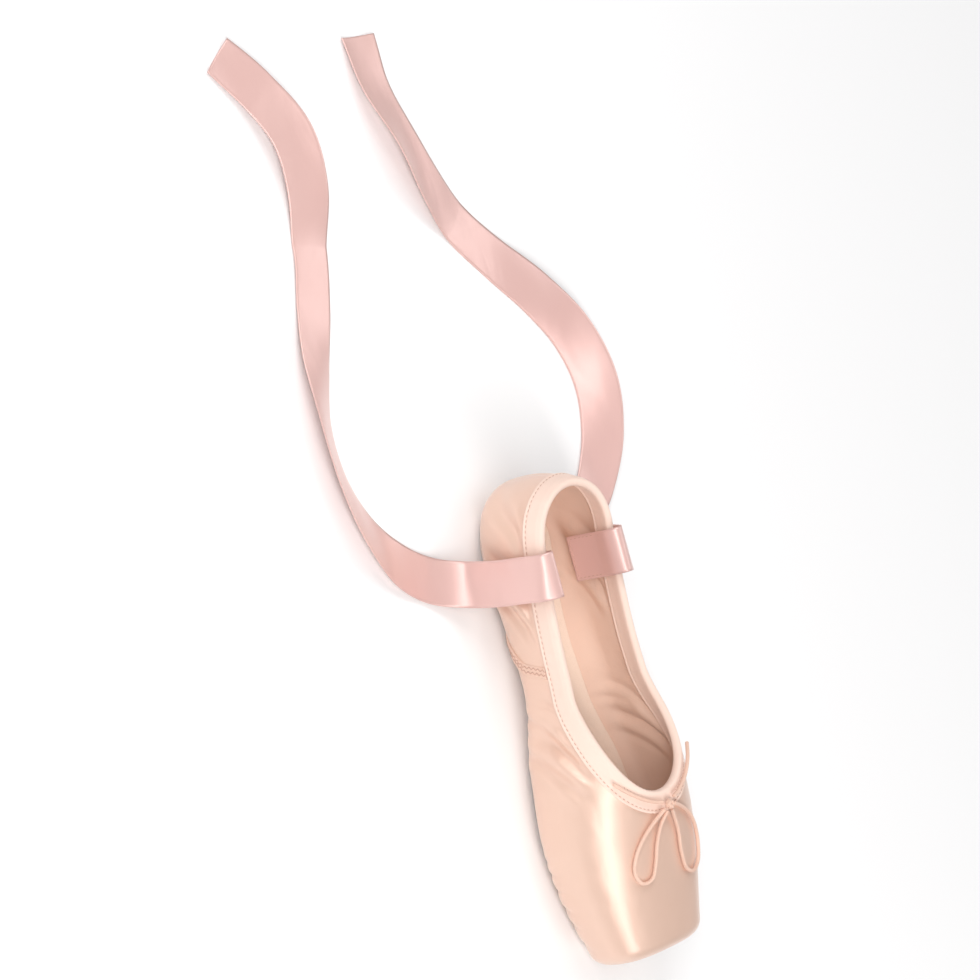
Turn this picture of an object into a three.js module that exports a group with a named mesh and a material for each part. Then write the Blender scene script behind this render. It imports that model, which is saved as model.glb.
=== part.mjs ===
import * as THREE from 'three';

// A pointe shoe, empty and unbent, standing on its sole. Millimetres, +X to the toe, +Y to the left,
// +Z up. Every station below is measured from the back of the heel, and the group moves the origin to
// the flat of the heel. The last is straight, so the left half is worked out and mirrored.

// Driving dimensions
const LENGTH = 235; // back of the heel to the platform
const HEEL_CENTRE = 32; // upright axis that the round heel turns about
const HEEL_RADIUS = 30; // mean radius of the round heel, which sets its girth
const TOE_ROUND = 6.5; // radius of the edge round the platform
const WALL = 2.2; // satin, canvas and paste together
const GAP = 0.3; // between pieces that touch
const ORIGIN_X = 35; // flat of the heel

// Collar and throat
const COLLAR_END = 105; // where the level sides turn into the throat
const THROAT_X = 160; // front of the throat on the centre line
const THROAT_FLARE = 0.6; // share of the last's widening that the throat follows
const CASING_DEPTH = 9; // width of the tape down each side of the wall
const CASING_SKIN = 0.9; // tape and lining on each side of the wall
const CASING_GAP = 0.45; // between the tape and the wall, which curves both ways here
const CASING_HEAD = 1.5; // drawstring tunnel above the edge of the wall

// Sole pieces
const SOLE_THICKNESS = 2.4;
const SOLE_HEEL_RADIUS = 19;
const SOLE_FRONT_START = 168; // where the outsole begins to round towards its tip
const SOLE_TIP = 211;
const SOLE_LAP = 6.5; // how far the outsole laps under the upper
const TIP_CROWN = 203; // place on the crown above the tip of the opening in the sole
const INSOLE_THICKNESS = 2;
const INSOLE_GAP = 0.45; // over the turned-in margin of the upper
const INSOLE_MARGIN = 2; // how far the insole reaches past the outsole's outline
const INSOLE_TIP = 217;

// Drawstring and ribbons
const CORD = 1.9;
const CORD_SIDES = 8;
const CORD_LOOP_STEPS = 24;
const CORD_END_STEPS = 10;
const KNOT_RADIUS = 2.6;
const RIBBON_WIDTH = 22;
const RIBBON_THICKNESS = 1;

// Colours
const SATIN = 0xeeccb8;
const LEATHER = 0xe1c8c3;
const BOARD = 0xf0e4d4;
const TAPE = 0xfcd9c5;
const BRAID = 0xf5cdb9;
const RIBBON_SATIN = 0xecbeb6;

const RIGHT_ANGLE = Math.PI / 2;

// The last by stations: greatest half width and its height, underside, crown line, and the
// powers of the superellipse above and below the greatest width.
const SECTIONS = [
  { x: 32, half: 28.4, belly: 20, bottom: 2.3, crown: 74, above: 2.3, below: 2.6 },
  { x: 58, half: 28.8, belly: 20, bottom: 2.3, crown: 71, above: 2.3, below: 2.5 },
  { x: 95, half: 29.4, belly: 21, bottom: 6.2, crown: 68, above: 2.3, below: 2.3 },
  { x: 115, half: 31.5, belly: 21, bottom: 4.4, crown: 66, above: 2.3, below: 2.5 },
  { x: 132, half: 35.2, belly: 20, bottom: 2.3, crown: 63.5, above: 2.3, below: 2.7 },
  { x: 152, half: 39.3, belly: 20, bottom: 2.3, crown: 59.7, above: 2.3, below: 2.8 },
  { x: 172, half: 41.6, belly: 20, bottom: 2.3, crown: 55.4, above: 2.35, below: 2.8 },
  { x: 192, half: 40, belly: 20.5, bottom: 2.3, crown: 51, above: 2.45, below: 2.8 },
  { x: 212, half: 35.6, belly: 21.5, bottom: 3, crown: 46.8, above: 2.55, below: 2.7 },
  { x: 235, half: 28.8, belly: 23.5, bottom: 5.2, crown: 42.4, above: 2.7, below: 2.6 },
];
// The back of the heel, where it turns furthest from its own axis
const HEEL_BACK = { half: 32, belly: 20, bottom: 2.3, crown: 67, above: 2.2, below: 2.5 };

const COLLAR_LINE = [
  { x: 0, height: 50.5 },
  { x: 20, height: 48.6 },
  { x: 50, height: 44.6 },
  { x: 80, height: 42.2 },
  { x: 105, height: 42 },
];

const SOLE_OUTLINE = [
  { x: 32, half: 19 },
  { x: 55, half: 17 },
  { x: 88, half: 13.5 },
  { x: 112, half: 16.5 },
  { x: 140, half: 26 },
  { x: 168, half: 30.5 },
];

// Smooth value of a table's column at x: a cubic through the rows
function along(rows, column, x) {
  const last = rows.length - 1;
  const bounded = Math.min(Math.max(x, rows[0].x), rows[last].x);
  let k = 0;
  while (k < last - 1 && bounded > rows[k + 1].x) k += 1;
  const slope = (j) => {
    const before = rows[Math.max(j - 1, 0)];
    const after = rows[Math.min(j + 1, last)];
    return (after[column] - before[column]) / (after.x - before.x);
  };
  const span = rows[k + 1].x - rows[k].x;
  const t = (bounded - rows[k].x) / span;
  const startSlope = k === 0 ? 0 : slope(k);
  return (2 * t ** 3 - 3 * t ** 2 + 1) * rows[k][column]
    + (t ** 3 - 2 * t ** 2 + t) * span * startSlope
    + (3 * t ** 2 - 2 * t ** 3) * rows[k + 1][column]
    + (t ** 3 - t ** 2) * span * slope(k + 1);
}

// The form is addressed by a girth station u and an angle. u runs from -HEEL_FAN at the back of the
// heel, through 0 at the heel's axis, along the length, and round the edge of the platform.
const HEEL_FAN = RIGHT_ANGLE * HEEL_RADIUS;
const TOE_START = LENGTH - HEEL_CENTRE - TOE_ROUND;
const TOE_END = TOE_START + RIGHT_ANGLE * TOE_ROUND;
const stationAt = (x) => x - HEEL_CENTRE;

function section(u) {
  const turn = u < 0 ? RIGHT_ANGLE * (1 + u / HEEL_FAN) : RIGHT_ANGLE;
  const round = u > TOE_START ? (u - TOE_START) / TOE_ROUND : 0;
  const x = u > TOE_START ? LENGTH - TOE_ROUND * (1 - Math.sin(round)) : HEEL_CENTRE + Math.max(u, 0);
  const inset = TOE_ROUND * (1 - Math.cos(round));
  const back = Math.cos(turn) ** 2;
  const value = (column) => {
    const own = along(SECTIONS, column, x);
    return own + back * (HEEL_BACK[column] - own);
  };
  return {
    x,
    turn,
    half: value('half') - inset,
    belly: value('belly'),
    bottom: value('bottom') + inset,
    crown: value('crown') - inset,
    above: value('above'),
    below: value('below'),
  };
}

// A point of the outer skin. The angle is -90 degrees under the sole, 0 at the greatest width and
// 90 degrees on the crown.
function skin(u, angle) {
  const s = section(u);
  const power = 2 / (angle > 0 ? s.above : s.below);
  const reach = s.half * Math.sign(Math.cos(angle)) * Math.abs(Math.cos(angle)) ** power;
  const rise = Math.abs(Math.sin(angle)) ** power;
  const z = angle > 0 ? s.belly + (s.crown - s.belly) * rise : s.belly - (s.belly - s.bottom) * rise;
  const x = u < 0 ? HEEL_CENTRE - reach * Math.cos(s.turn) : s.x;
  return new THREE.Vector3(x, reach * Math.sin(s.turn), z);
}

function outward(u, angle) {
  const step = 0.01;
  const lengthways = skin(u + step, angle).sub(skin(u - step, angle));
  const upwards = skin(u, angle + step / 10).sub(skin(u, angle - step / 10));
  return upwards.cross(lengthways).normalize();
}

// A point at a depth inside the outer skin; a negative depth stands outside it
function layer(u, angle, depth) {
  return skin(u, angle).addScaledVector(outward(u, angle), -depth);
}

const angleAtHeight = (u, z) => {
  const s = section(u);
  return Math.asin(Math.min(1, (z - s.belly) / (s.crown - s.belly)) ** (s.above / 2));
};
const angleAtReach = (u, reach, side) => {
  const s = section(u);
  const power = side > 0 ? s.above : s.below;
  return side * Math.acos(Math.min(1, reach / s.half) ** (power / 2));
};

// Half the width of a sole piece at x, grown by a margin all round and brought to a round tip
function soleHalf(x, margin, tip) {
  if (x < HEEL_CENTRE) {
    const radius = SOLE_HEEL_RADIUS + margin;
    return Math.sqrt(Math.max(0, radius ** 2 - (HEEL_CENTRE - x) ** 2));
  }
  const half = along(SOLE_OUTLINE, 'half', x) + margin;
  const run = Math.max(0, (x - SOLE_FRONT_START) / (tip - SOLE_FRONT_START));
  return half * Math.sqrt(Math.max(0, 1 - run ** 2));
}

// Ribs run from the edge of the opening in the sole up to the collar, or to the crown ahead of the
// throat. Each is a straight line in u and angle.
function makeRibs() {
  const heelSteps = 8;
  const sideSteps = 8;
  const throatSteps = 11;
  const tipSteps = 7;
  const boxSteps = 3;
  const edgeSteps = 3;
  const openingTip = SOLE_TIP - SOLE_LAP;
  const ribs = [];
  const bottomEnd = (x) => {
    const u = stationAt(x);
    return { u, angle: angleAtReach(u, soleHalf(x, -SOLE_LAP, openingTip), -1) };
  };
  for (let k = 0; k < heelSteps; k += 1) {
    const u = -HEEL_FAN * (1 - k / heelSteps);
    const s = section(u);
    const height = along(COLLAR_LINE, 'height', HEEL_CENTRE - s.half * Math.cos(s.turn));
    ribs.push({
      low: { u, angle: angleAtReach(u, SOLE_HEEL_RADIUS - SOLE_LAP, -1) },
      top: { u, angle: angleAtHeight(u, height) },
    });
  }
  for (let k = 0; k < sideSteps; k += 1) {
    const x = HEEL_CENTRE + (COLLAR_END - HEEL_CENTRE) * (k / sideSteps);
    const u = stationAt(x);
    ribs.push({ low: bottomEnd(x), top: { u, angle: angleAtHeight(u, along(COLLAR_LINE, 'height', x)) } });
  }
  const endStation = stationAt(COLLAR_END);
  const endAngle = angleAtHeight(endStation, along(COLLAR_LINE, 'height', COLLAR_END));
  const throatHalf = skin(endStation, endAngle).y;
  for (let k = 0; k < throatSteps; k += 1) {
    const arc = RIGHT_ANGLE * (k / throatSteps);
    const u = stationAt(COLLAR_END + (THROAT_X - COLLAR_END) * Math.sin(arc));
    const reach = throatHalf + THROAT_FLARE * (section(u).half - section(endStation).half);
    const low = bottomEnd(COLLAR_END + (SOLE_FRONT_START - COLLAR_END) * (k / throatSteps));
    ribs.push({ low, top: { u, angle: angleAtReach(u, reach * Math.cos(arc), 1) } });
  }
  const throatRib = ribs.length;
  for (let k = 0; k < tipSteps; k += 1) {
    const arc = RIGHT_ANGLE * (k / tipSteps);
    const low = bottomEnd(SOLE_FRONT_START + (openingTip - SOLE_FRONT_START) * Math.sin(arc));
    const u = stationAt(THROAT_X + (TIP_CROWN - THROAT_X) * (k / tipSteps));
    ribs.push({ low, top: { u, angle: RIGHT_ANGLE } });
  }
  const tipRib = ribs.length;
  for (let k = 0; k < boxSteps; k += 1) {
    const share = k / boxSteps;
    const lowStation = stationAt(openingTip) * (1 - share) + TOE_START * share;
    const topStation = stationAt(TIP_CROWN) * (1 - share) + TOE_START * share;
    ribs.push({ low: { u: lowStation, angle: -RIGHT_ANGLE }, top: { u: topStation, angle: RIGHT_ANGLE } });
  }
  for (let k = 0; k <= edgeSteps; k += 1) {
    const u = TOE_START + (TOE_END - TOE_START) * (k / edgeSteps);
    ribs.push({ low: { u, angle: -RIGHT_ANGLE }, top: { u, angle: RIGHT_ANGLE } });
  }
  return { ribs, throatRib, tipRib };
}

// Place on a rib at a distance along the skin from its lower end, or from its top end if negative
function onRib(rib, distance) {
  const samples = 60;
  const places = [];
  let total = 0;
  let before = null;
  for (let k = 0; k <= samples; k += 1) {
    const share = k / samples;
    const u = rib.low.u + (rib.top.u - rib.low.u) * share;
    const angle = rib.low.angle + (rib.top.angle - rib.low.angle) * share;
    const point = skin(u, angle);
    if (before) total += point.distanceTo(before);
    places.push({ u, angle, at: total });
    before = point;
  }
  const target = distance < 0 ? total + distance : distance;
  if (distance === Infinity || target >= total) return { ...rib.top, total };
  const k = Math.max(1, places.findIndex((place) => place.at >= target));
  const share = (target - places[k - 1].at) / (places[k].at - places[k - 1].at);
  return {
    u: places[k - 1].u + (places[k].u - places[k - 1].u) * share,
    angle: places[k - 1].angle + (places[k].angle - places[k - 1].angle) * share,
    total,
  };
}

// Collects triangles, sharing vertices that coincide and leaving out the ones that have collapsed
class Surface {
  constructor() {
    this.keys = new Map();
    this.positions = [];
    this.triangles = [];
  }

  vertex(point) {
    const y = Math.abs(point.y) < 1e-4 ? 0 : point.y;
    const key = [point.x, y, point.z].map((value) => Math.round(value * 1000)).join();
    if (!this.keys.has(key)) {
      this.keys.set(key, this.positions.length / 3);
      this.positions.push(point.x, y, point.z);
    }
    return this.keys.get(key);
  }

  triangle(a, b, c) {
    const [i, j, k] = [this.vertex(a), this.vertex(b), this.vertex(c)];
    if (i !== j && j !== k && k !== i) this.triangles.push(i, j, k);
  }

  quad(a, b, c, d) {
    this.triangle(a, b, c);
    this.triangle(a, c, d);
  }

  geometry() {
    const geometry = new THREE.BufferGeometry();
    geometry.setAttribute('position', new THREE.Float32BufferAttribute(this.positions, 3));
    geometry.setIndex(this.triangles);
    geometry.computeVertexNormals();
    return geometry;
  }
}

// Adds a quad and its mirror image on the other side of the centre line
function mirroredQuad(surface, a, b, c, d) {
  const mirror = (point) => new THREE.Vector3(point.x, -point.y, point.z);
  surface.quad(d, c, b, a);
  surface.quad(mirror(a), mirror(b), mirror(c), mirror(d));
}

function addMesh(group, name, geometry, colour, roughness) {
  const material = new THREE.MeshStandardMaterial({ color: colour, roughness, metalness: 0 });
  const mesh = new THREE.Mesh(geometry, material);
  mesh.name = name;
  group.add(mesh);
  return mesh;
}

// Loft through rings of equal count, with flat or collapsed ends
function loft(rings) {
  const surface = new Surface();
  const count = rings[0].length;
  for (let i = 0; i + 1 < rings.length; i += 1) {
    for (let j = 0; j < count; j += 1) {
      const next = (j + 1) % count;
      surface.quad(rings[i][j], rings[i][next], rings[i + 1][next], rings[i + 1][j]);
    }
  }
  for (const [ring, forward] of [[rings[0], false], [rings[rings.length - 1], true]]) {
    for (let j = 1; j + 1 < count; j += 1) {
      if (forward) surface.triangle(ring[0], ring[j], ring[j + 1]);
      else surface.triangle(ring[0], ring[j + 1], ring[j]);
    }
  }
  return surface.geometry();
}

function makeUpper({ ribs, throatRib, tipRib }) {
  const rows = 15;
  const casingRows = 2;
  const surface = new Surface();
  const grid = ribs.map((rib) => {
    const total = onRib(rib, Infinity).total;
    const lower = total - CASING_DEPTH;
    const line = [];
    for (let j = 0; j <= rows; j += 1) {
      const free = rows - casingRows;
      const distance = j <= free ? lower * (j / free) : lower + CASING_DEPTH * ((j - free) / casingRows);
      const place = j === 0 ? rib.low : onRib(rib, j === rows ? Infinity : distance);
      line.push({ outer: layer(place.u, place.angle, 0), inner: layer(place.u, place.angle, WALL) });
    }
    return line;
  });
  for (let i = 0; i + 1 < ribs.length; i += 1) {
    for (let j = 0; j < rows; j += 1) {
      const [a, b, c, d] = [grid[i][j], grid[i + 1][j], grid[i + 1][j + 1], grid[i][j + 1]];
      mirroredQuad(surface, a.outer, b.outer, c.outer, d.outer);
      mirroredQuad(surface, a.inner, d.inner, c.inner, b.inner);
    }
    const [low, nextLow] = [grid[i][0], grid[i + 1][0]];
    const [top, nextTop] = [grid[i][rows], grid[i + 1][rows]];
    if (i < tipRib) mirroredQuad(surface, nextLow.outer, low.outer, low.inner, nextLow.inner);
    if (i < throatRib) mirroredQuad(surface, top.outer, nextTop.outer, nextTop.inner, top.inner);
  }
  const last = grid[ribs.length - 1];
  const middle = section(TOE_END).belly;
  const face = new THREE.Vector3(LENGTH, 0, middle);
  const lining = new THREE.Vector3(LENGTH - WALL, 0, middle);
  for (let j = 0; j < rows; j += 1) {
    mirroredQuad(surface, last[j + 1].outer, last[j].outer, face, face);
    mirroredQuad(surface, last[j].inner, last[j + 1].inner, lining, lining);
  }
  return surface.geometry();
}

// Station and angle of the last's underside at a place in plan
function underside(x, y) {
  const back = HEEL_CENTRE - x;
  const turn = Math.atan2(Math.abs(y), back);
  const u = x < HEEL_CENTRE ? HEEL_FAN * (turn / RIGHT_ANGLE - 1) : stationAt(x);
  const reach = x < HEEL_CENTRE ? Math.hypot(back, y) : Math.abs(y);
  return { u, angle: angleAtReach(u, reach, -1) };
}

// A sole piece between two layers of the last's underside. Its lowest part is cut off flat at the floor.
function makeSolePiece(margin, tip, upperDepth, lowerDepth) {
  const across = 8;
  const steps = 30;
  const heelEnd = HEEL_CENTRE - SOLE_HEEL_RADIUS - margin;
  const rings = [];
  for (let i = 0; i <= steps; i += 1) {
    const x = heelEnd + (tip - heelEnd) * (1 - Math.cos(Math.PI * (i / steps))) / 2;
    const half = i === 0 || i === steps ? 0 : soleHalf(x, margin, tip);
    const upperRow = [];
    const lowerRow = [];
    for (let j = 0; j <= across; j += 1) {
      const y = half * Math.sin(RIGHT_ANGLE * (2 * (j / across) - 1));
      const place = underside(x, y);
      const normal = outward(place.u, place.angle);
      const z = skin(place.u, place.angle).z;
      const slant = Math.max(0.5, -normal.z);
      upperRow.push(new THREE.Vector3(x, y, z + upperDepth / slant));
      lowerRow.push(new THREE.Vector3(x, y, Math.max(0, z + lowerDepth / slant)));
    }
    rings.push([...lowerRow, ...upperRow.reverse()]);
  }
  return loft(rings);
}

// Moves over the skin from a place, in a direction, by a distance
function slide(place, direction, distance) {
  const moves = 4;
  const step = 0.01;
  let { u, angle } = place;
  for (let k = 0; k < moves && distance > 0; k += 1) {
    const alongU = skin(u + step, angle).sub(skin(u - step, angle)).divideScalar(2 * step);
    const alongAngle = skin(u, angle + step).sub(skin(u, angle - step)).divideScalar(2 * step);
    const [uu, ua, aa] = [alongU.dot(alongU), alongU.dot(alongAngle), alongAngle.dot(alongAngle)];
    const [du, da] = [alongU.dot(direction), alongAngle.dot(direction)];
    const scale = (distance / moves) / (uu * aa - ua * ua);
    u += (du * aa - da * ua) * scale;
    angle += (da * uu - du * ua) * scale;
  }
  return { u, angle };
}

// The casing: tape folded over the edge of the wall, as an upside-down U, square to the edge
function makeBinding({ ribs, throatRib }) {
  const surface = new Surface();
  const outside = -CASING_GAP - CASING_SKIN;
  const inside = WALL + CASING_GAP + CASING_SKIN;
  const edges = ribs.slice(0, throatRib + 1).map((rib) => skin(rib.top.u, rib.top.angle));
  const mirrored = (point) => new THREE.Vector3(point.x, -point.y, point.z);
  const rings = edges.map((edge, i) => {
    const top = ribs[i].top;
    const before = i === 0 ? mirrored(edges[1]) : edges[i - 1];
    const after = i === throatRib ? mirrored(edges[i - 1]) : edges[i + 1];
    const tangent = after.clone().sub(before).normalize();
    const normal = outward(top.u, top.angle);
    const down = normal.clone().cross(tangent).normalize();
    const middle = slide(top, down, CASING_DEPTH / 2);
    const foot = slide(top, down, CASING_DEPTH);
    const at = (place, depth, lift = 0) => layer(place.u, place.angle, depth).addScaledVector(down, -lift);
    const head = at(top, WALL / 2, GAP);
    const radius = (inside - outside) / 2;
    const onHead = (degrees) => head.clone()
      .addScaledVector(normal, radius * Math.cos(THREE.MathUtils.degToRad(degrees)))
      .addScaledVector(down, -CASING_HEAD * Math.sin(THREE.MathUtils.degToRad(degrees)));
    return [
      at(foot, outside), at(middle, outside), at(top, outside, GAP),
      onHead(45), onHead(90), onHead(135),
      at(top, inside, GAP), at(middle, inside), at(foot, inside),
      at(foot, WALL + CASING_GAP), at(middle, WALL + CASING_GAP), at(top, WALL + CASING_GAP, GAP),
      at(top, -CASING_GAP, CASING_GAP), at(middle, -CASING_GAP), at(foot, -CASING_GAP),
    ];
  });
  for (let i = 0; i + 1 < rings.length; i += 1) {
    for (let j = 0; j < rings[i].length; j += 1) {
      const next = (j + 1) % rings[i].length;
      mirroredQuad(surface, rings[i][j], rings[i + 1][j], rings[i + 1][next], rings[i][next]);
    }
  }
  return surface.geometry();
}

// A place above the vamp, given in plan, lifted square to its skin
function overVamp({ x, y, lift }) {
  const u = stationAt(x);
  const point = layer(u, angleAtReach(u, Math.abs(y), 1), -lift);
  return new THREE.Vector3(point.x, y < 0 ? -point.y : point.y, point.z);
}

const BOW = {
  drawstring_loop_right: [
    { x: 166.5, y: -3.2, lift: 3.6 },
    { x: 171, y: -9, lift: 2 },
    { x: 177, y: -16, lift: 1.5 },
    { x: 184.5, y: -21, lift: 1.4 },
    { x: 192, y: -22.5, lift: 1.4 },
    { x: 198, y: -19, lift: 1.4 },
    { x: 197.5, y: -13.5, lift: 1.4 },
    { x: 191, y: -10.5, lift: 1.4 },
    { x: 182, y: -8.5, lift: 1.5 },
    { x: 173.5, y: -5, lift: 2 },
    { x: 167.8, y: -1.2, lift: 3.4 },
  ],
  drawstring_loop_left: [
    { x: 165.5, y: 3.6, lift: 3.6 },
    { x: 169, y: 10.5, lift: 2.2 },
    { x: 174.5, y: 18.5, lift: 1.5 },
    { x: 182, y: 24.5, lift: 1.4 },
    { x: 191, y: 27, lift: 1.4 },
    { x: 199, y: 24.5, lift: 1.4 },
    { x: 202.5, y: 18, lift: 1.4 },
    { x: 199.5, y: 11.5, lift: 1.4 },
    { x: 190.5, y: 8.5, lift: 1.4 },
    { x: 180, y: 7.5, lift: 1.5 },
    { x: 172.5, y: 4.5, lift: 2.2 },
    { x: 168, y: 1.8, lift: 3.5 },
  ],
  drawstring_end_right: [
    { x: 163, y: -3.6, lift: 3.6 },
    { x: 161.5, y: -9, lift: 2.9 },
    { x: 158, y: -15.5, lift: 2.7 },
    { x: 153, y: -21.5, lift: 2.7 },
    { x: 147.5, y: -26, lift: 2.7 },
  ],
  drawstring_end_left: [
    { x: 162.5, y: 3.6, lift: 3.6 },
    { x: 160.5, y: 9.5, lift: 2.9 },
    { x: 156, y: 16, lift: 2.9 },
    { x: 149.5, y: 21.5, lift: 3.4 },
    { x: 143, y: 26.5, lift: 4.2 },
  ],
};

function makeCord(rows, steps) {
  const section2d = new THREE.Shape();
  for (let k = 0; k < CORD_SIDES; k += 1) {
    const angle = (2 * Math.PI * k) / CORD_SIDES;
    const [a, b] = [Math.cos(angle) * CORD / 2, Math.sin(angle) * CORD / 2];
    if (k === 0) section2d.moveTo(a, b);
    else section2d.lineTo(a, b);
  }
  section2d.closePath();
  const extrudePath = new THREE.CatmullRomCurve3(rows.map(overVamp), false, 'centripetal');
  return new THREE.ExtrudeGeometry(section2d, { steps, extrudePath, bevelEnabled: false });
}

// Ribbon routes, from the stitching inside the collar to the cut end. lift is the height of the
// lower edge over the floor, and tilt slopes the width up from level, in degrees.
const RIBBON_RIGHT = [
  { x: 46, y: -20.6, lift: 21, tilt: 0 },
  { x: 46, y: -21.1, lift: 30, tilt: 0 },
  { x: 46, y: -21.2, lift: 38, tilt: 0 },
  { x: 46, y: -20.8, lift: 46, tilt: 0 },
  { x: 46, y: -24.5, lift: 51.5, tilt: 0 },
  { x: 46, y: -30.5, lift: 48.5, tilt: 0 },
  { x: 45, y: -34.5, lift: 38, tilt: 0 },
  { x: 44, y: -37.5, lift: 24, tilt: 0 },
  { x: 41, y: -43, lift: 9, tilt: 0 },
  { x: 35, y: -56, lift: 1.5, tilt: 0 },
  { x: 23, y: -74, lift: 0, tilt: 8 },
  { x: 3, y: -90, lift: 0, tilt: 26 },
  { x: -22, y: -99, lift: 0, tilt: 38 },
  { x: -50, y: -100, lift: 0, tilt: 34 },
  { x: -77, y: -93, lift: 0, tilt: 16 },
  { x: -103, y: -83, lift: 0, tilt: 3 },
  { x: -130, y: -75, lift: 0, tilt: 0 },
  { x: -157, y: -72, lift: 3, tilt: -14 },
  { x: -183, y: -76, lift: 5, tilt: -20 },
  { x: -206, y: -86, lift: 2, tilt: -10 },
  { x: -226, y: -101, lift: 0, tilt: 0 },
];
const RIBBON_LEFT = [
  { x: 46, y: 20.6, lift: 21, tilt: 0 },
  { x: 46, y: 21.1, lift: 30, tilt: 0 },
  { x: 46, y: 21.2, lift: 38, tilt: 0 },
  { x: 46, y: 20.8, lift: 46, tilt: 0 },
  { x: 46, y: 24.5, lift: 51.5, tilt: 0 },
  { x: 46, y: 30.5, lift: 48.5, tilt: 0 },
  { x: 45, y: 34.5, lift: 38, tilt: 0 },
  { x: 43.5, y: 38, lift: 24, tilt: 0 },
  { x: 40, y: 44.5, lift: 9, tilt: 0 },
  { x: 32, y: 57, lift: 1.5, tilt: 0 },
  { x: 17, y: 72, lift: 0, tilt: -10 },
  { x: -5, y: 83, lift: 0, tilt: -28 },
  { x: -31, y: 86, lift: 0, tilt: -38 },
  { x: -57, y: 79, lift: 0, tilt: -34 },
  { x: -80, y: 64, lift: 0, tilt: -18 },
  { x: -101, y: 45, lift: 0, tilt: -4 },
  { x: -122, y: 26, lift: 0, tilt: 0 },
  { x: -145, y: 9, lift: 3, tilt: 12 },
  { x: -170, y: -3, lift: 5, tilt: 18 },
  { x: -196, y: -9, lift: 2, tilt: 10 },
  { x: -221, y: -8, lift: 0, tilt: 0 },
];
const RIBBON_STEPS = 64;
const LEAVING_SHARE = 0.5; // part of the route over which the shoe still turns the ribbon sideways

// A flat strip along its route, its width square to the way the route heads in plan. Where the
// route climbs the wall it has no heading in plan, and the strip faces out of its side of the shoe.
function makeRibbon(rows) {
  const side = Math.sign(rows[0].y);
  const slopes = rows.map(({ tilt }) => THREE.MathUtils.degToRad(tilt));
  const half = RIBBON_WIDTH / 2;
  const thick = RIBBON_THICKNESS / 2;
  const centres = rows.map(({ x, y, lift }, row) => {
    const slope = Math.abs(slopes[row]);
    return new THREE.Vector3(x, y, lift + half * Math.sin(slope) + thick * Math.cos(slope));
  });
  const path = new THREE.CatmullRomCurve3(centres, false, 'centripetal');
  const rings = [];
  for (let k = 0; k <= RIBBON_STEPS; k += 1) {
    const t = k / RIBBON_STEPS;
    const row = Math.min(rows.length - 2, Math.floor(t * (rows.length - 1)));
    const share = t * (rows.length - 1) - row;
    const tilt = THREE.MathUtils.lerp(slopes[row], slopes[row + 1], share);
    const centre = path.getPoint(t);
    const tangent = path.getTangent(t);
    const outwards = side * Math.max(0, 1 - t / LEAVING_SHARE);
    const across = new THREE.Vector3(-tangent.y - outwards, tangent.x, 0).normalize();
    const width = across.multiplyScalar(Math.cos(tilt)).setZ(Math.sin(tilt));
    width.addScaledVector(tangent, -width.dot(tangent)).normalize();
    const normal = tangent.clone().cross(width).normalize();
    const corner = (a, b) => centre.clone()
      .addScaledVector(width, a * half)
      .addScaledVector(normal, b * thick);
    const ring = [corner(-1, -1), corner(1, -1), corner(1, 1), corner(-1, 1)];
    const sunk = Math.min(0, ...ring.map((point) => point.z));
    for (const point of ring) point.z -= sunk;
    rings.push(ring);
  }
  return loft(rings);
}

const shoe = new THREE.Group();
shoe.position.x = -ORIGIN_X;

const frame = makeRibs();
addMesh(shoe, 'upper', makeUpper(frame), SATIN, 0.45);
addMesh(shoe, 'outsole', makeSolePiece(0, SOLE_TIP, -GAP, -GAP - SOLE_THICKNESS), LEATHER, 0.8);
const insoleBed = WALL + INSOLE_GAP;
const insoleTop = insoleBed + INSOLE_THICKNESS;
addMesh(shoe, 'insole', makeSolePiece(INSOLE_MARGIN, INSOLE_TIP, insoleTop, insoleBed), BOARD, 0.8);
addMesh(shoe, 'binding', makeBinding(frame), TAPE, 0.7);
// The knot sits in the middle of the casing, just ahead of the throat
const KNOT_X = 165;
const knotLift = GAP * 2 + CASING_SKIN + KNOT_RADIUS;
const knot = addMesh(shoe, 'drawstring_knot', new THREE.SphereGeometry(KNOT_RADIUS, 10, 8), BRAID, 0.7);
knot.position.copy(overVamp({ x: KNOT_X, y: 0, lift: knotLift }));
for (const [name, rows] of Object.entries(BOW)) {
  addMesh(shoe, name, makeCord(rows, name.includes('loop') ? CORD_LOOP_STEPS : CORD_END_STEPS), BRAID, 0.7);
}
addMesh(shoe, 'ribbon_right', makeRibbon(RIBBON_RIGHT), RIBBON_SATIN, 0.4);
addMesh(shoe, 'ribbon_left', makeRibbon(RIBBON_LEFT), RIBBON_SATIN, 0.4);

export default shoe;
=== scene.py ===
"""A satin pointe shoe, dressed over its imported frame.

Lengths along the last are kept in millimetres from the back of the heel, as a
shoemaker measures them, and every mesh is placed in metres in the frame, whose
origin is on the floor under the flat of the heel.
"""

from __future__ import annotations

import logging
import math
from dataclasses import dataclass, field
from enum import Enum
from typing import Callable

import bmesh
import bpy
import numpy as np
from mathutils import Matrix, Vector

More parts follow.
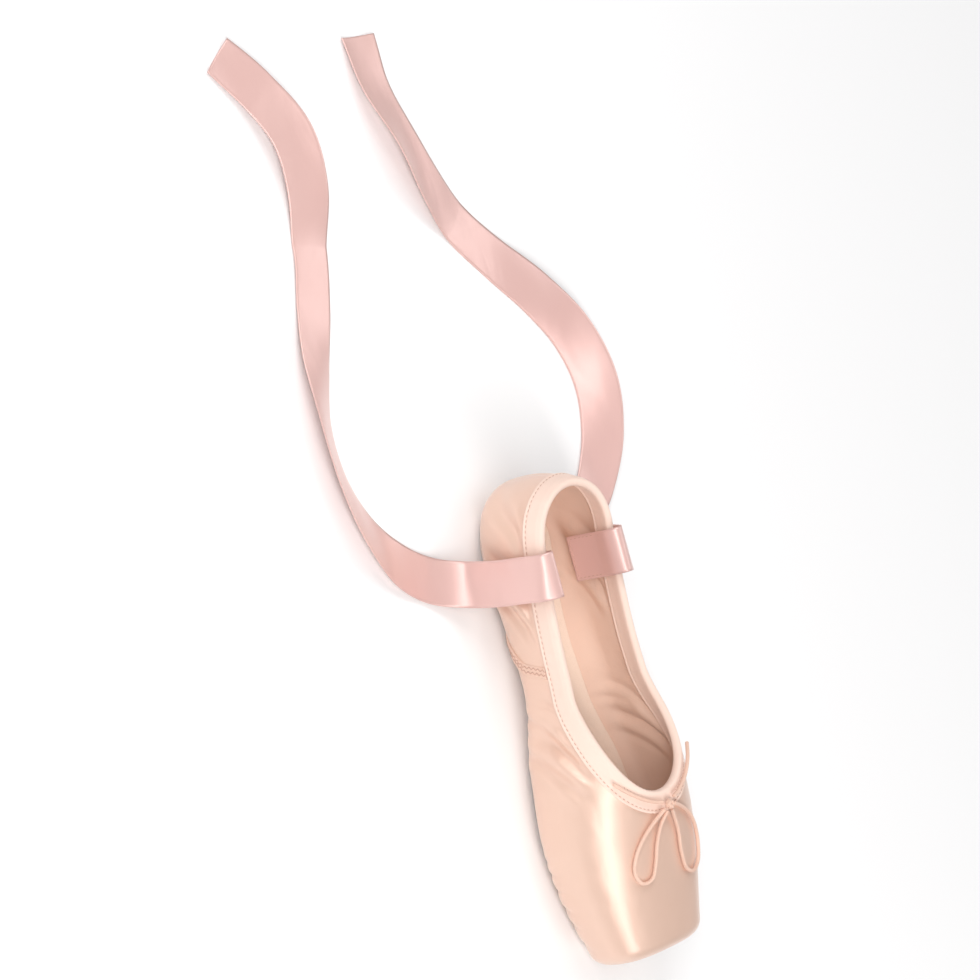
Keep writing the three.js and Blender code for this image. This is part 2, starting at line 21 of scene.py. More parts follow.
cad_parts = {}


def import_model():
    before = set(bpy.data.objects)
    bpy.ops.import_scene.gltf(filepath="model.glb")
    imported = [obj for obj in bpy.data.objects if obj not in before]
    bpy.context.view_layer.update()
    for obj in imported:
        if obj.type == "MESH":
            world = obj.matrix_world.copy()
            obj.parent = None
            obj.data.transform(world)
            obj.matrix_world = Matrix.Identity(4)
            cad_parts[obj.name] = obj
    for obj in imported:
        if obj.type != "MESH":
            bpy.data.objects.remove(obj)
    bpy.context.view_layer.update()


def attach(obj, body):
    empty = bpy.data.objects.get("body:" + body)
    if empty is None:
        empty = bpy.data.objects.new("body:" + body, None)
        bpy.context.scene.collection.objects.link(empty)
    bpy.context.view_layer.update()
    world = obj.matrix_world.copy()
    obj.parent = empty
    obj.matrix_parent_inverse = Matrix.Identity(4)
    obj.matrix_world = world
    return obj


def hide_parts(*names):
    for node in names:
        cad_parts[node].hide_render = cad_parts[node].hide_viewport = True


LOG = logging.getLogger("pointe_shoe")
MM = 0.001
ORIGIN_X = 35.0
RIGHT_ANGLE = math.pi / 2
FULL_TURN = 2 * math.pi
MIRROR = np.array([1.0, -1.0, 1.0])
SPLINE_STEPS = 24
BODY = "root"

Array = np.ndarray


def in_frame(points: Array) -> Array:
    """Turn millimetres from the back of the heel into metres in the frame.

    Args:
        points: Places with x, y and z in the last axis.

    Returns:
        The same places in metres, from the origin.
    """
    return (points - np.array([ORIGIN_X, 0.0, 0.0])) * MM


class Side(Enum):
    """A side of the shoe, as the sign of its y."""

    LEFT = 1
    RIGHT = -1


# --------------------------------------------------------------------------
# The last
# --------------------------------------------------------------------------


@dataclass(frozen=True)
class Station:
    """One cross-section of the last, in millimetres, with its two superellipse powers."""

    x: float
    half: float
    belly: float
    bottom: float
    crown: float
    above: float
    below: float


@dataclass(frozen=True)
class Last:
    """The form that every piece of the shoe is worked out from.

    A place on it has a girth station u and an angle: u runs from -heel_fan at
    the back of the heel, through 0 at the heel's axis, to the platform's edge,
    and the angle from -90 degrees under the sole to 90 degrees on the crown.
    """

    length: float = 235.0
    heel_centre: float = 32.0
    toe_round: float = 6.5
    wall: float = 2.2
    collar_end: float = 105.0
    throat_x: float = 160.0
    throat_flare: float = 0.6
    heel_radius: float = 30.0
    sole_heel_radius: float = 19.0
    sole_front_start: float = 168.0
    sole_tip: float = 211.0
    sole_lap: float = 6.5
    tip_crown: float = 203.0
    probe: float = 0.02
    probe_angle: float = 0.002
    stations: tuple[Station, ...] = (
        Station(32, 28.4, 20, 2.3, 74, 2.3, 2.6),
        Station(58, 28.8, 20, 2.3, 71, 2.3, 2.5),
        Station(95, 29.4, 21, 6.2, 68, 2.3, 2.3),
        Station(115, 31.5, 21, 4.4, 66, 2.3, 2.5),
        Station(132, 35.2, 20, 2.3, 63.5, 2.3, 2.7),
        Station(152, 39.3, 20, 2.3, 59.7, 2.3, 2.8),
        Station(172, 41.6, 20, 2.3, 55.4, 2.35, 2.8),
        Station(192, 40, 20.5, 2.3, 51, 2.45, 2.8),
        Station(212, 35.6, 21.5, 3, 46.8, 2.55, 2.7),
        Station(235, 28.8, 23.5, 5.2, 42.4, 2.7, 2.6),
    )
    heel_back: Station = Station(0, 32, 20, 2.3, 67, 2.2, 2.5)
    collar_line: tuple[tuple[float, float], ...] = (
        (0, 50.5), (20, 48.6), (50, 44.6), (80, 42.2), (105, 42),
    )
    sole_outline: tuple[tuple[float, float], ...] = (
        (32, 19), (55, 17), (88, 13.5), (112, 16.5), (140, 26), (168, 30.5),
    )

    @property
    def heel_fan(self) -> float:
        """Length of the quarter turn from the back of the heel to its side."""
        return RIGHT_ANGLE * self.heel_radius

    @property
    def toe_start(self) -> float:
        """Station where the platform's rounded edge begins."""
        return self.length - self.heel_centre - self.toe_round

    @property
    def toe_end(self) -> float:
        """Station of the platform's flat face."""
        return self.toe_start + RIGHT_ANGLE * self.toe_round

    def station_at(self, x: Array | float) -> Array:
        """Girth station at a length x along the last."""
        return np.asarray(x, float) - self.heel_centre

    @staticmethod
    def smooth(xs: Array, values: Array, x: Array | float) -> Array:
        """Cubic through a table's rows.

        Args:
            xs: Places of the rows.
            values: Values at the rows.
            x: Where the value is wanted.

        Returns:
            The smooth values at x.
        """
        x = np.clip(np.asarray(x, float), xs[0], xs[-1])
        k = np.clip(np.searchsorted(xs, x, side="left") - 1, 0, len(xs) - 2)
        rows = np.arange(len(xs))
        before, after = np.maximum(rows - 1, 0), np.minimum(rows + 1, len(xs) - 1)
        slope = (values[after] - values[before]) / (xs[after] - xs[before])
        slope[0] = 0
        span = xs[k + 1] - xs[k]
        t = (x - xs[k]) / span
        return (
            (2 * t**3 - 3 * t**2 + 1) * values[k]
            + (t**3 - 2 * t**2 + t) * span * slope[k]
            + (3 * t**2 - 2 * t**3) * values[k + 1]
            + (t**3 - t**2) * span * slope[k + 1]
        )

    def table(self, rows: tuple[tuple[float, float], ...], x: Array | float) -> Array:
        """Smooth value of a two-column table at x."""
        columns = np.array(rows, float).T
        return self.smooth(columns[0], columns[1], x)

    def section(self, u: Array | float) -> dict[str, Array]:
        """Sizes of the cross-section at a station.

        Args:
            u: Girth stations.

        Returns:
            The section's place, turn and sizes by name.
        """
        u = np.asarray(u, float)
        turn = np.where(u < 0, RIGHT_ANGLE * (1 + u / self.heel_fan), RIGHT_ANGLE)
        bend = np.where(u > self.toe_start, (u - self.toe_start) / self.toe_round, 0.0)
        round_x = self.length - self.toe_round * (1 - np.sin(bend))
        x = np.where(u > self.toe_start, round_x, self.heel_centre + np.maximum(u, 0))
        inset = self.toe_round * (1 - np.cos(bend))
        back = np.cos(turn) ** 2
        xs = np.array([s.x for s in self.stations])
        out: dict[str, Array] = {"x": x, "turn": turn}
        for name in ("half", "belly", "bottom", "crown", "above", "below"):
            own = self.smooth(xs, np.array([getattr(s, name) for s in self.stations]), x)
            out[name] = own + back * (getattr(self.heel_back, name) - own)
        out["half"] = out["half"] - inset
        out["bottom"] = out["bottom"] + inset
        out["crown"] = out["crown"] - inset
        return out

    def skin(self, u: Array | float, angle: Array | float) -> Array:
        """Point of the outer skin.

        Args:
            u: Girth stations.
            angle: Angles round the section, in radians.

        Returns:
            Places in millimetres from the back of the heel.
        """
        u, angle = np.broadcast_arrays(np.asarray(u, float), np.asarray(angle, float))
        s = self.section(u)
        power = 2 / np.where(angle > 0, s["above"], s["below"])
        reach = s["half"] * np.sign(np.cos(angle)) * np.abs(np.cos(angle)) ** power
        rise = np.abs(np.sin(angle)) ** power
        over = s["belly"] + (s["crown"] - s["belly"]) * rise
        under = s["belly"] - (s["belly"] - s["bottom"]) * rise
        x = np.where(u < 0, self.heel_centre - reach * np.cos(s["turn"]), s["x"])
        return np.stack([x, reach * np.sin(s["turn"]), np.where(angle > 0, over, under)], -1)

    def outward(self, u: Array | float, angle: Array | float) -> Array:
        """Outward normal of the skin.

        Args:
            u: Girth stations.
            angle: Angles round the section.

        Returns:
            Unit vectors.
        """
        step, turn = self.probe, self.probe_angle
        lengthways = self.skin(u + step, angle) - self.skin(u - step, angle)
        upwards = self.skin(u, angle + turn) - self.skin(u, angle - turn)
        normal = np.cross(upwards, lengthways)
        return normal / np.maximum(np.linalg.norm(normal, axis=-1, keepdims=True), 1e-12)

    def layer(self, u: Array | float, angle: Array | float, lift: Array | float) -> Array:
        """Point lifted off the skin, or sunk into it where lift is negative."""
        lift = np.asarray(lift, float)[..., None]
        return self.skin(u, angle) + self.outward(u, angle) * lift

    def angle_at_height(self, u: Array | float, z: Array | float) -> Array:
        """Angle at which the upper part of a section reaches a height.

        Args:
            u: Girth stations.
            z: Heights in millimetres.

        Returns:
            Angles in radians.
        """
        s = self.section(u)
        share = np.clip((z - s["belly"]) / (s["crown"] - s["belly"]), 0, 1)
        return np.arcsin(share ** (s["above"] / 2))

    def angle_at_reach(self, u: Array | float, reach: Array | float, upper: bool) -> Array:
        """Angle at which a section is a given half width across.

        Args:
            u: Girth stations.
            reach: Half widths in millimetres.
            upper: Whether the place is above the belly line.

        Returns:
            Angles in radians.
        """
        s = self.section(u)
        power = s["above"] if upper else s["below"]
        angle = np.arccos(np.clip(reach / s["half"], 0, 1) ** (power / 2))
        return angle if upper else -angle

    def sole_half(self, x: Array | float, margin: float, tip: float) -> Array:
        """Half width of a sole piece.

        Args:
            x: Length along the last.
            margin: How far the piece reaches past the outsole's outline.
            tip: Where the piece ends towards the toe.

        Returns:
            Half widths in millimetres.
        """
        x = np.asarray(x, float)
        radius = self.sole_heel_radius + margin
        heel = np.sqrt(np.maximum(0, radius**2 - (self.heel_centre - x) ** 2))
        run = np.clip((x - self.sole_front_start) / (tip - self.sole_front_start), 0, 1)
        front = (self.table(self.sole_outline, x) + margin) * np.sqrt(1 - run**2)
        return np.where(x < self.heel_centre, heel, front)

    def underside(self, x: Array, y: Array) -> tuple[Array, Array]:
        """Station and angle of the last's underside over a place in plan.

        Args:
            x: Lengths along the last.
            y: Distances from its middle.

        Returns:
            Girth stations and angles.
        """
        back = self.heel_centre - x
        turn = np.arctan2(np.abs(y), back)
        u = np.where(x < self.heel_centre, self.heel_fan * (turn / RIGHT_ANGLE - 1), -back)
        reach = np.where(x < self.heel_centre, np.hypot(back, y), np.abs(y))
        return u, self.angle_at_reach(u, reach, upper=False)

    def over_vamp(self, x: float, y: float, lift: float) -> Array:
        """Find a place above the vamp, given in plan.

        Args:
            x: Length along the last.
            y: Distance from its middle.
            lift: Height square to the skin.

        Returns:
            The place in millimetres.
        """
        u = self.station_at(x)
        point = self.layer(u, self.angle_at_reach(u, abs(y), upper=True), lift)
        return np.array([point[0], math.copysign(point[1], y), point[2]])


@dataclass
class RibFrame:
    """Ribs of the upper's left half, each from the sole's opening to the collar or crown."""

    last: Last
    heel_ribs: int = 48
    quarter_ribs: int = 48
    throat_ribs: int = 66
    vamp_ribs: int = 42
    toe_ribs: int = 18
    edge_ribs: int = 12
    samples: int = 160
    low_u: Array = field(init=False)
    low_angle: Array = field(init=False)
    top_u: Array = field(init=False)
    top_angle: Array = field(init=False)
    throat: int = field(init=False)

    def __post_init__(self) -> None:
        """Lay out the ribs zone by zone, from the back of the heel to the platform."""
        last = self.last
        opening_tip = last.sole_tip - last.sole_lap
        rows: list[tuple[float, float, float, float]] = []

        def low_at(x: float) -> tuple[float, float]:
            """Station and angle of the sole opening's edge at a length x."""
            u = float(last.station_at(x))
            half = last.sole_half(x, -last.sole_lap, opening_tip)
            return u, float(last.angle_at_reach(u, half, upper=False))

        def between(start: float, end: float, share: float) -> float:
            """Length at a share of the way from start to end."""
            return start + (end - start) * share

        for k in range(self.heel_ribs):
            u = -last.heel_fan * (1 - k / self.heel_ribs)
            s = last.section(u)
            x = last.heel_centre - s["half"] * np.cos(s["turn"])
            low = last.angle_at_reach(u, last.sole_heel_radius - last.sole_lap, upper=False)
            top = last.angle_at_height(u, last.table(last.collar_line, x))
            rows.append((u, float(low), u, float(top)))
        for k in range(self.quarter_ribs):
            x = between(last.heel_centre, last.collar_end, k / self.quarter_ribs)
            u, low = low_at(x)
            top = last.angle_at_height(u, last.table(last.collar_line, x))
            rows.append((u, low, u, float(top)))
        end_u = float(last.station_at(last.collar_end))
        end_angle = last.angle_at_height(end_u, last.table(last.collar_line, last.collar_end))
        end_half = float(last.skin(end_u, end_angle)[1])
        for k in range(self.throat_ribs):
            arc = RIGHT_ANGLE * k / self.throat_ribs
            u = float(last.station_at(between(last.collar_end, last.throat_x, math.sin(arc))))
            grown = last.section(u)["half"] - last.section(end_u)["half"]
            reach = (end_half + last.throat_flare * grown) * math.cos(arc)
            low_x = between(last.collar_end, last.sole_front_start, k / self.throat_ribs)
            rows.append((*low_at(low_x), u, float(last.angle_at_reach(u, reach, upper=True))))
        self.throat = len(rows)
        for k in range(self.vamp_ribs):
            share = k / self.vamp_ribs
            low_x = between(last.sole_front_start, opening_tip, math.sin(RIGHT_ANGLE * share))
            u = float(last.station_at(between(last.throat_x, last.tip_crown, share)))
            rows.append((*low_at(low_x), u, RIGHT_ANGLE))
        for k in range(self.toe_ribs):
            share = k / self.toe_ribs
            low_u = between(float(last.station_at(opening_tip)), last.toe_start, share)
            top_u = between(float(last.station_at(last.tip_crown)), last.toe_start, share)
            rows.append((low_u, -RIGHT_ANGLE, top_u, RIGHT_ANGLE))
        for k in range(self.edge_ribs + 1):
            u = between(last.toe_start, last.toe_end, k / self.edge_ribs)
            rows.append((u, -RIGHT_ANGLE, u, RIGHT_ANGLE))
        self.low_u, self.low_angle, self.top_u, self.top_angle = np.array(rows).T

    def grid(self, rows: int) -> tuple[Array, Array, Array]:
        """Places of an even grid over the ribs.

        Args:
            rows: Number of steps up each rib.

        Returns:
            Stations, angles and distances up the rib, each by rib and row.
        """
        share = np.linspace(0, 1, self.samples)
        u = self.low_u[:, None] + (self.top_u - self.low_u)[:, None] * share
        angle = self.low_angle[:, None] + (self.top_angle - self.low_angle)[:, None] * share
        steps = np.linalg.norm(np.diff(self.last.skin(u, angle), axis=1), axis=2)
        run = np.concatenate([np.zeros((len(u), 1)), np.cumsum(steps, axis=1)], axis=1)
        out_u = np.empty((len(u), rows + 1))
        out_angle = np.empty_like(out_u)
        out_run = np.empty_like(out_u)
        for i, length in enumerate(run[:, -1]):
            wanted = np.linspace(0, length, rows + 1)
            out_u[i] = np.interp(wanted, run[i], u[i])
            out_angle[i] = np.interp(wanted, run[i], angle[i])
            out_run[i] = wanted
        return out_u, out_angle, out_run


# --------------------------------------------------------------------------
# Mesh helpers
# --------------------------------------------------------------------------


def smoothstep(low: float, high: float, value: Array) -> Array:
    """Soft step from 0 at low to 1 at high."""
    t = np.clip((value - low) / (high - low), 0, 1)
    return t * t * (3 - 2 * t)


def grid_bmesh(points: Array, uv: Array) -> bmesh.types.BMesh:
    """Lay a grid over places.

    Args:
        points: Places by row and column, in the frame in metres.
        uv: Cloth coordinates by row and column, in metres.

    Returns:
        A bmesh with a UV map.
    """
    rows, columns = points.shape[:2]
    bm = bmesh.new()
    layer = bm.loops.layers.uv.new("Cloth")
    bmesh.ops.create_grid(bm, x_segments=columns - 1, y_segments=rows - 1, size=1)
    bm.verts.ensure_lookup_table()
    flat, flat_uv = points.reshape(-1, 3), uv.reshape(-1, 2)
    for vert in bm.verts:
        vert.co = flat[vert.index]
    for face in bm.faces:
        for loop in face.loops:
            loop[layer].uv = flat_uv[loop.vert.index]
    return bm


def finish_piece(
    bm: bmesh.types.BMesh,
    name: str,
    materials: list[bpy.types.Material],
    merge: float = 1e-6,
    outward_from: Callable[[bmesh.types.BMesh], None] | None = None,
) -> bpy.types.Object:
    """Turn a bmesh into a piece of the shoe that rides on its body.

    Args:
        bm: The shape, which is freed.
        name: Name of the piece.
        materials: Materials in slot order.
        merge: Distance within which vertices are joined.
        outward_from: Step that turns the faces outwards, or None to let them agree.

    Returns:
        The new object.
    """
    bmesh.ops.remove_doubles(bm, verts=bm.verts, dist=merge)
    bmesh.ops.dissolve_degenerate(bm, edges=bm.edges, dist=merge)
    if outward_from is None:
        bmesh.ops.recalc_face_normals(bm, faces=bm.faces)
    else:
        outward_from(bm)
    for face in bm.faces:
        face.smooth = True
    mesh = bpy.data.meshes.new(name)
    bm.to_mesh(mesh)
    bm.free()
    for material in materials:
        mesh.materials.append(material)
    piece = bpy.data.objects.new(name, mesh)
    bpy.context.scene.collection.objects.link(piece)
    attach(piece, BODY)
    LOG.info("%s: %d faces", name, len(mesh.polygons))
    return piece


def catmull_rom(rows: Array, count: int) -> Array:
    """Centripetal curve through rows, evenly spaced in its own length.

    Args:
        rows: Points, or any values by column, that the curve passes through.
        count: Number of points wanted.

    Returns:
        Points along the curve.
    """
    first, last = 2 * rows[0] - rows[1], 2 * rows[-1] - rows[-2]
    knots = np.vstack([first, rows, last])
    pieces = []
    for k in range(len(rows) - 1):
        p = knots[k : k + 4]
        gaps = np.maximum(np.linalg.norm(np.diff(p, axis=0)[:, :3], axis=1) ** 0.5, 1e-6)
        t0, t1 = 0.0, gaps[0]
        t2, t3 = t1 + gaps[1], t1 + gaps[1] + gaps[2]
        t = np.linspace(t1, t2, SPLINE_STEPS, endpoint=False)[:, None]
        a1 = (t1 - t) / (t1 - t0) * p[0] + (t - t0) / (t1 - t0) * p[1]
        a2 = (t2 - t) / (t2 - t1) * p[1] + (t - t1) / (t2 - t1) * p[2]
        a3 = (t3 - t) / (t3 - t2) * p[2] + (t - t2) / (t3 - t2) * p[3]
        b1 = (t2 - t) / (t2 - t0) * a1 + (t - t0) / (t2 - t0) * a2
        b2 = (t3 - t) / (t3 - t1) * a2 + (t - t1) / (t3 - t1) * a3
        pieces.append((t2 - t) / (t2 - t1) * b1 + (t - t1) / (t2 - t1) * b2)
    curve = np.vstack([*pieces, rows[-1:]])
    run = run_along(curve)
    wanted = np.linspace(0, run[-1], count)
    return np.stack([np.interp(wanted, run, curve[:, c]) for c in range(curve.shape[1])], -1)


def run_along(points: Array) -> Array:
    """Length of a line so far, at each of its points."""
    steps = np.linalg.norm(np.diff(points[:, :3], axis=0), axis=1)
    return np.concatenate([[0], np.cumsum(steps)])


def path_length(points: Array) -> float:
    """Length of a line through points."""
    return float(np.linalg.norm(np.diff(points[:, :3], axis=0), axis=1).sum())


def unit(vectors: Array) -> Array:
    """Vectors brought to length 1."""
    return vectors / np.maximum(np.linalg.norm(vectors, axis=-1, keepdims=True), 1e-12)


def tube_points(path: Array, radius: Array, around: int) -> Array:
    """Rings of a tube along a path.

    Args:
        path: Centre line in metres.
        radius: Radius by ring and place round it, in metres.
        around: Number of sides.

    Returns:
        Places by ring and side, with the first side repeated at the end.
    """
    tangent = unit(np.gradient(path, axis=0))
    side = np.zeros_like(path)
    start = np.cross(tangent[0], [0.0, 0.0, 1.0])
    if np.linalg.norm(start) < 0.1:
        start = np.cross(tangent[0], [0.0, 1.0, 0.0])
    side[0] = unit(start)
    for k in range(1, len(path)):
        side[k] = unit(side[k - 1] - tangent[k] * np.dot(side[k - 1], tangent[k]))
    other = np.cross(tangent, side)
    turn = np.linspace(0, FULL_TURN, around + 1)[None, :, None]
    rim = side[:, None] * np.cos(turn) + other[:, None] * np.sin(turn)
    return path[:, None] + rim * radius[..., None]


# --------------------------------------------------------------------------
# Finishes
# --------------------------------------------------------------------------


class NodeKit:
    """Small helper that adds and joins nodes of one tree."""

    def __init__(self, tree: bpy.types.NodeTree) -> None:
        """Keep the tree that nodes are added to."""
        self.tree = tree

    def add(self, kind: str, **settings: object) -> bpy.types.Node:
        """Add a node.

        Args:
            kind: Name of the node type.
            settings: Properties to set on it.

        Returns:
            The node.
        """
        node = self.tree.nodes.new(kind)
        for name, value in settings.items():
            setattr(node, name, value)
        return node

    def join(self, source: bpy.types.NodeSocket, target: bpy.types.NodeSocket) -> None:
        """Link an output to an input."""
        self.tree.links.new(source, target)

    def math(self, operation: str, a: object, b: object = 0.0) -> bpy.types.NodeSocket:
        """Arithmetic on two values or sockets.

        Args:
            operation: Name of the operation.
            a: First value or socket.
            b: Second value or socket.

        Returns:
            The result's socket.
        """
        node = self.add("ShaderNodeMath", operation=operation)
        for socket, value in zip(node.inputs, (a, b)):
            if isinstance(value, bpy.types.NodeSocket):
                self.join(value, socket)
            else:
                socket.default_value = value
        return node.outputs[0]


class ShaderGroups:
    """The effects that several finishes share, each built once."""

    def __init__(self) -> None:
        """Build the weave and the cloth-tone groups."""
        self.weave = self._weave()
        self.tone = self._tone()

    @staticmethod
    def _new(
        name: str, inputs: dict[str, tuple[str, float]], outputs: dict[str, str]
    ) -> bpy.types.NodeTree:
        """Make an empty group.

        Args:
            name: Name of the group.
            inputs: Socket type and default by name.
            outputs: Socket type by name.

        Returns:
            The group's tree.
        """
        tree = bpy.data.node_groups.new(name, "ShaderNodeTree")
        for label, (kind, default) in inputs.items():
            socket = tree.interface.new_socket(label, in_out="INPUT", socket_type=kind)
            if kind == "NodeSocketFloat":
                socket.default_value = default
        for label, kind in outputs.items():
            tree.interface.new_socket(label, in_out="OUTPUT", socket_type=kind)
        return tree

    def _weave(self) -> bpy.types.NodeTree:
        """Threads crossing along the cloth's own coordinates, as a height and a tone."""
        tree = self._new(
            "cloth_weave",
            {
                "Vector": ("NodeSocketVector", 0.0),
                "Warp per mm": ("NodeSocketFloat", 3.0),
                "Weft per mm": ("NodeSocketFloat", 2.0),
                "Unevenness": ("NodeSocketFloat", 0.3),
            },
            {"Height": "NodeSocketFloat", "Tone": "NodeSocketFloat"},
        )
        kit = NodeKit(tree)
        given, result = kit.add("NodeGroupInput"), kit.add("NodeGroupOutput")
        parts = kit.add("ShaderNodeSeparateXYZ")
        kit.join(given.outputs["Vector"], parts.inputs[0])
        to_radians = FULL_TURN / MM
        waves = []
        for part, rate, height in (
            (parts.outputs[1], "Warp per mm", 0.35),
            (parts.outputs[0], "Weft per mm", 0.25),
        ):
            turn = kit.math("MULTIPLY", part, given.outputs[rate])
            wave = kit.math("SINE", kit.math("MULTIPLY", turn, to_radians))
            waves.append(kit.math("MULTIPLY", wave, height))
        slub = kit.add("ShaderNodeTexNoise")
        slub.inputs["Scale"].default_value = 1.0
        slub.inputs["Detail"].default_value = 2.0
        stretch = kit.add("ShaderNodeVectorMath", operation="MULTIPLY")
        kit.join(given.outputs["Vector"], stretch.inputs[0])
        stretch.inputs[1].default_value = (120.0, 2600.0, 1.0)
        kit.join(stretch.outputs[0], slub.inputs["Vector"])
        level = kit.math("SUBTRACT", slub.outputs[0], 0.5)
        uneven = kit.math("MULTIPLY", level, given.outputs["Unevenness"])
        height = kit.math("ADD", kit.math("ADD", *waves), uneven)
        kit.join(height, result.inputs["Height"])
        kit.join(kit.math("ADD", kit.math("MULTIPLY", height, 0.5), 0.5), result.inputs["Tone"])
        return tree

    def _tone(self) -> bpy.types.NodeTree:
        """Slow change of colour over a cloth or hide, with small darker marks."""
        tree = self._new(
            "cloth_tone",
            {
                "Vector": ("NodeSocketVector", 0.0),
                "Patch per m": ("NodeSocketFloat", 25.0),
                "Mark per m": ("NodeSocketFloat", 260.0),
                "Mark share": ("NodeSocketFloat", 0.35),
            },
            {"Patch": "NodeSocketFloat", "Mark": "NodeSocketFloat"},
        )
        kit = NodeKit(tree)
        given, result = kit.add("NodeGroupInput"), kit.add("NodeGroupOutput")
        patch = kit.add("ShaderNodeTexNoise")
        patch.inputs["Detail"].default_value = 3.0
        kit.join(given.outputs["Vector"], patch.inputs["Vector"])
        kit.join(given.outputs["Patch per m"], patch.inputs["Scale"])
        mark = kit.add("ShaderNodeTexNoise")
        mark.inputs["Detail"].default_value = 5.0
        mark.inputs["Roughness"].default_value = 0.65
        kit.join(given.outputs["Vector"], mark.inputs["Vector"])
        kit.join(given.outputs["Mark per m"], mark.inputs["Scale"])
        kit.join(patch.outputs[0], result.inputs["Patch"])
        bound = kit.math("SUBTRACT", 0.85, given.outputs["Mark share"])
        over = kit.math("SUBTRACT", mark.outputs[0], bound)
        clamp = kit.add("ShaderNodeClamp")
        kit.join(kit.math("MULTIPLY", over, 4.0), clamp.inputs[0])
        kit.join(clamp.outputs[0], result.inputs["Mark"])
        return tree


@dataclass(frozen=True)
class ClothFinish:
    """A cloth, thread or hide: its colours, gloss and surface."""

    name: str
    light: tuple[float, float, float]
    dark: tuple[float, float, float]
    roughness: float = 0.6
    rough_spread: float = 0.08
    sheen: float = 0.3
    sheen_roughness: float = 0.4
    sheen_tint: tuple[float, float, float] = (1.0, 0.9, 0.85)
    specular: float = 0.5
    metallic: float = 0.0
    coat: float = 0.0
    coat_roughness: float = 0.2
    warp_per_mm: float = 3.0
    weft_per_mm: float = 2.0
    unevenness: float = 0.3
    weave_depth: float = 0.02
    tone_share: float = 0.25
    mark_share: float = 0.3
    mark_strength: float = 0.25
    grain_per_m: float = 900.0
    grain_depth: float = 0.02
    drape_depth: float = 0.0
    drape_per_m: float = 38.0
    drape_scale: tuple[float, float, float] = (0.5, 1.2, 1.3)
    drape_turn: tuple[float, float, float] = (0.7, 0.5, 0.6)
    selvedge_at: float = 0.0
    selvedge_height: float = 6.0

    def build(self, groups: ShaderGroups) -> bpy.types.Material:
        """Make the material.

        Args:
            groups: The shared effects.

        Returns:
            A material for pieces with a UV map in metres.
        """
        material = bpy.data.materials.new(self.name)
        material.use_nodes = True
        kit = NodeKit(material.node_tree)
        shader = material.node_tree.nodes["Principled BSDF"]
        place = kit.add("ShaderNodeTexCoord").outputs["Object"]
        cloth = kit.add("ShaderNodeUVMap", uv_map="Cloth").outputs[0]
        weave = kit.add("ShaderNodeGroup", node_tree=groups.weave)
        kit.join(cloth, weave.inputs["Vector"])
        weave.inputs["Warp per mm"].default_value = self.warp_per_mm
        weave.inputs["Weft per mm"].default_value = self.weft_per_mm
        weave.inputs["Unevenness"].default_value = self.unevenness
        tone = kit.add("ShaderNodeGroup", node_tree=groups.tone)
        kit.join(place, tone.inputs["Vector"])
        tone.inputs["Mark share"].default_value = self.mark_share
        self._colour(kit, shader, weave.outputs["Tone"], tone)
        raised = self._raised(kit, cloth, weave.outputs["Height"])
        fine = self._bump(kit, raised, self.weave_depth, self._surface(kit, place))
        kit.join(fine, shader.inputs["Normal"])
        for socket, value in (
            ("Metallic", self.metallic),
            ("Specular IOR Level", self.specular),
            ("Sheen Weight", self.sheen),
            ("Sheen Roughness", self.sheen_roughness),
            ("Sheen Tint", (*self.sheen_tint, 1)),
            ("Coat Weight", self.coat),
            ("Coat Roughness", self.coat_roughness),
        ):
            shader.inputs[socket].default_value = value
        return material

    def _colour(
        self,
        kit: NodeKit,
        shader: bpy.types.Node,
        threads: bpy.types.NodeSocket,
        tone: bpy.types.Node,
    ) -> None:
        """Mix the two colours by thread, patch and mark, and vary the roughness.

        Args:
            kit: Helper for the material's tree.
            shader: The material's shader.
            threads: Tone of the weave.
            tone: The placed group of slow tones and marks.
        """
        woven = kit.math("MULTIPLY", threads, self.tone_share)
        patched = kit.math("MULTIPLY", tone.outputs["Patch"], 1 - self.tone_share)
        marked = kit.math("MULTIPLY", tone.outputs["Mark"], self.mark_strength)
        mix = kit.add("ShaderNodeMix", data_type="RGBA")
        mix.inputs["A"].default_value = (*self.light, 1)
        mix.inputs["B"].default_value = (*self.dark, 1)
        share = kit.math("ADD", kit.math("ADD", woven, patched), marked)
        kit.join(share, mix.inputs["Factor"])
        kit.join(mix.outputs["Result"], shader.inputs["Base Color"])
        spread = kit.math("MULTIPLY", tone.outputs["Patch"], self.rough_spread)
        kit.join(kit.math("ADD", spread, self.roughness), shader.inputs["Roughness"])

    def _noise(
        self, kit: NodeKit, vector: bpy.types.NodeSocket, scale: float, detail: float,
        distortion: float = 0.0,
    ) -> bpy.types.NodeSocket:
        """Place a noise.

        Args:
            kit: Helper for the material's tree.
            vector: Coordinates that it reads.
            scale: Features per metre.
            detail: Octaves.
            distortion: How far it is stirred.

        Returns:
            The noise's value.
        """
        noise = kit.add("ShaderNodeTexNoise")
        noise.inputs["Scale"].default_value = scale
        noise.inputs["Detail"].default_value = detail
        noise.inputs["Distortion"].default_value = distortion
        kit.join(vector, noise.inputs["Vector"])
        return noise.outputs[0]

    def _bump(
        self, kit: NodeKit, height: bpy.types.NodeSocket, depth: float,
        under: bpy.types.NodeSocket | None = None,
    ) -> bpy.types.NodeSocket:
        """Place a bump.

        Args:
            kit: Helper for the material's tree.
            height: Height that it reads.
            depth: Its depth in millimetres.
            under: Normal that it is laid over, if any.

        Returns:
            The new normal.
        """
        bump = kit.add("ShaderNodeBump")
        bump.inputs["Distance"].default_value = depth * MM
        kit.join(height, bump.inputs["Height"])
        if under is not None:
            kit.join(under, bump.inputs["Normal"])
        return bump.outputs[0]

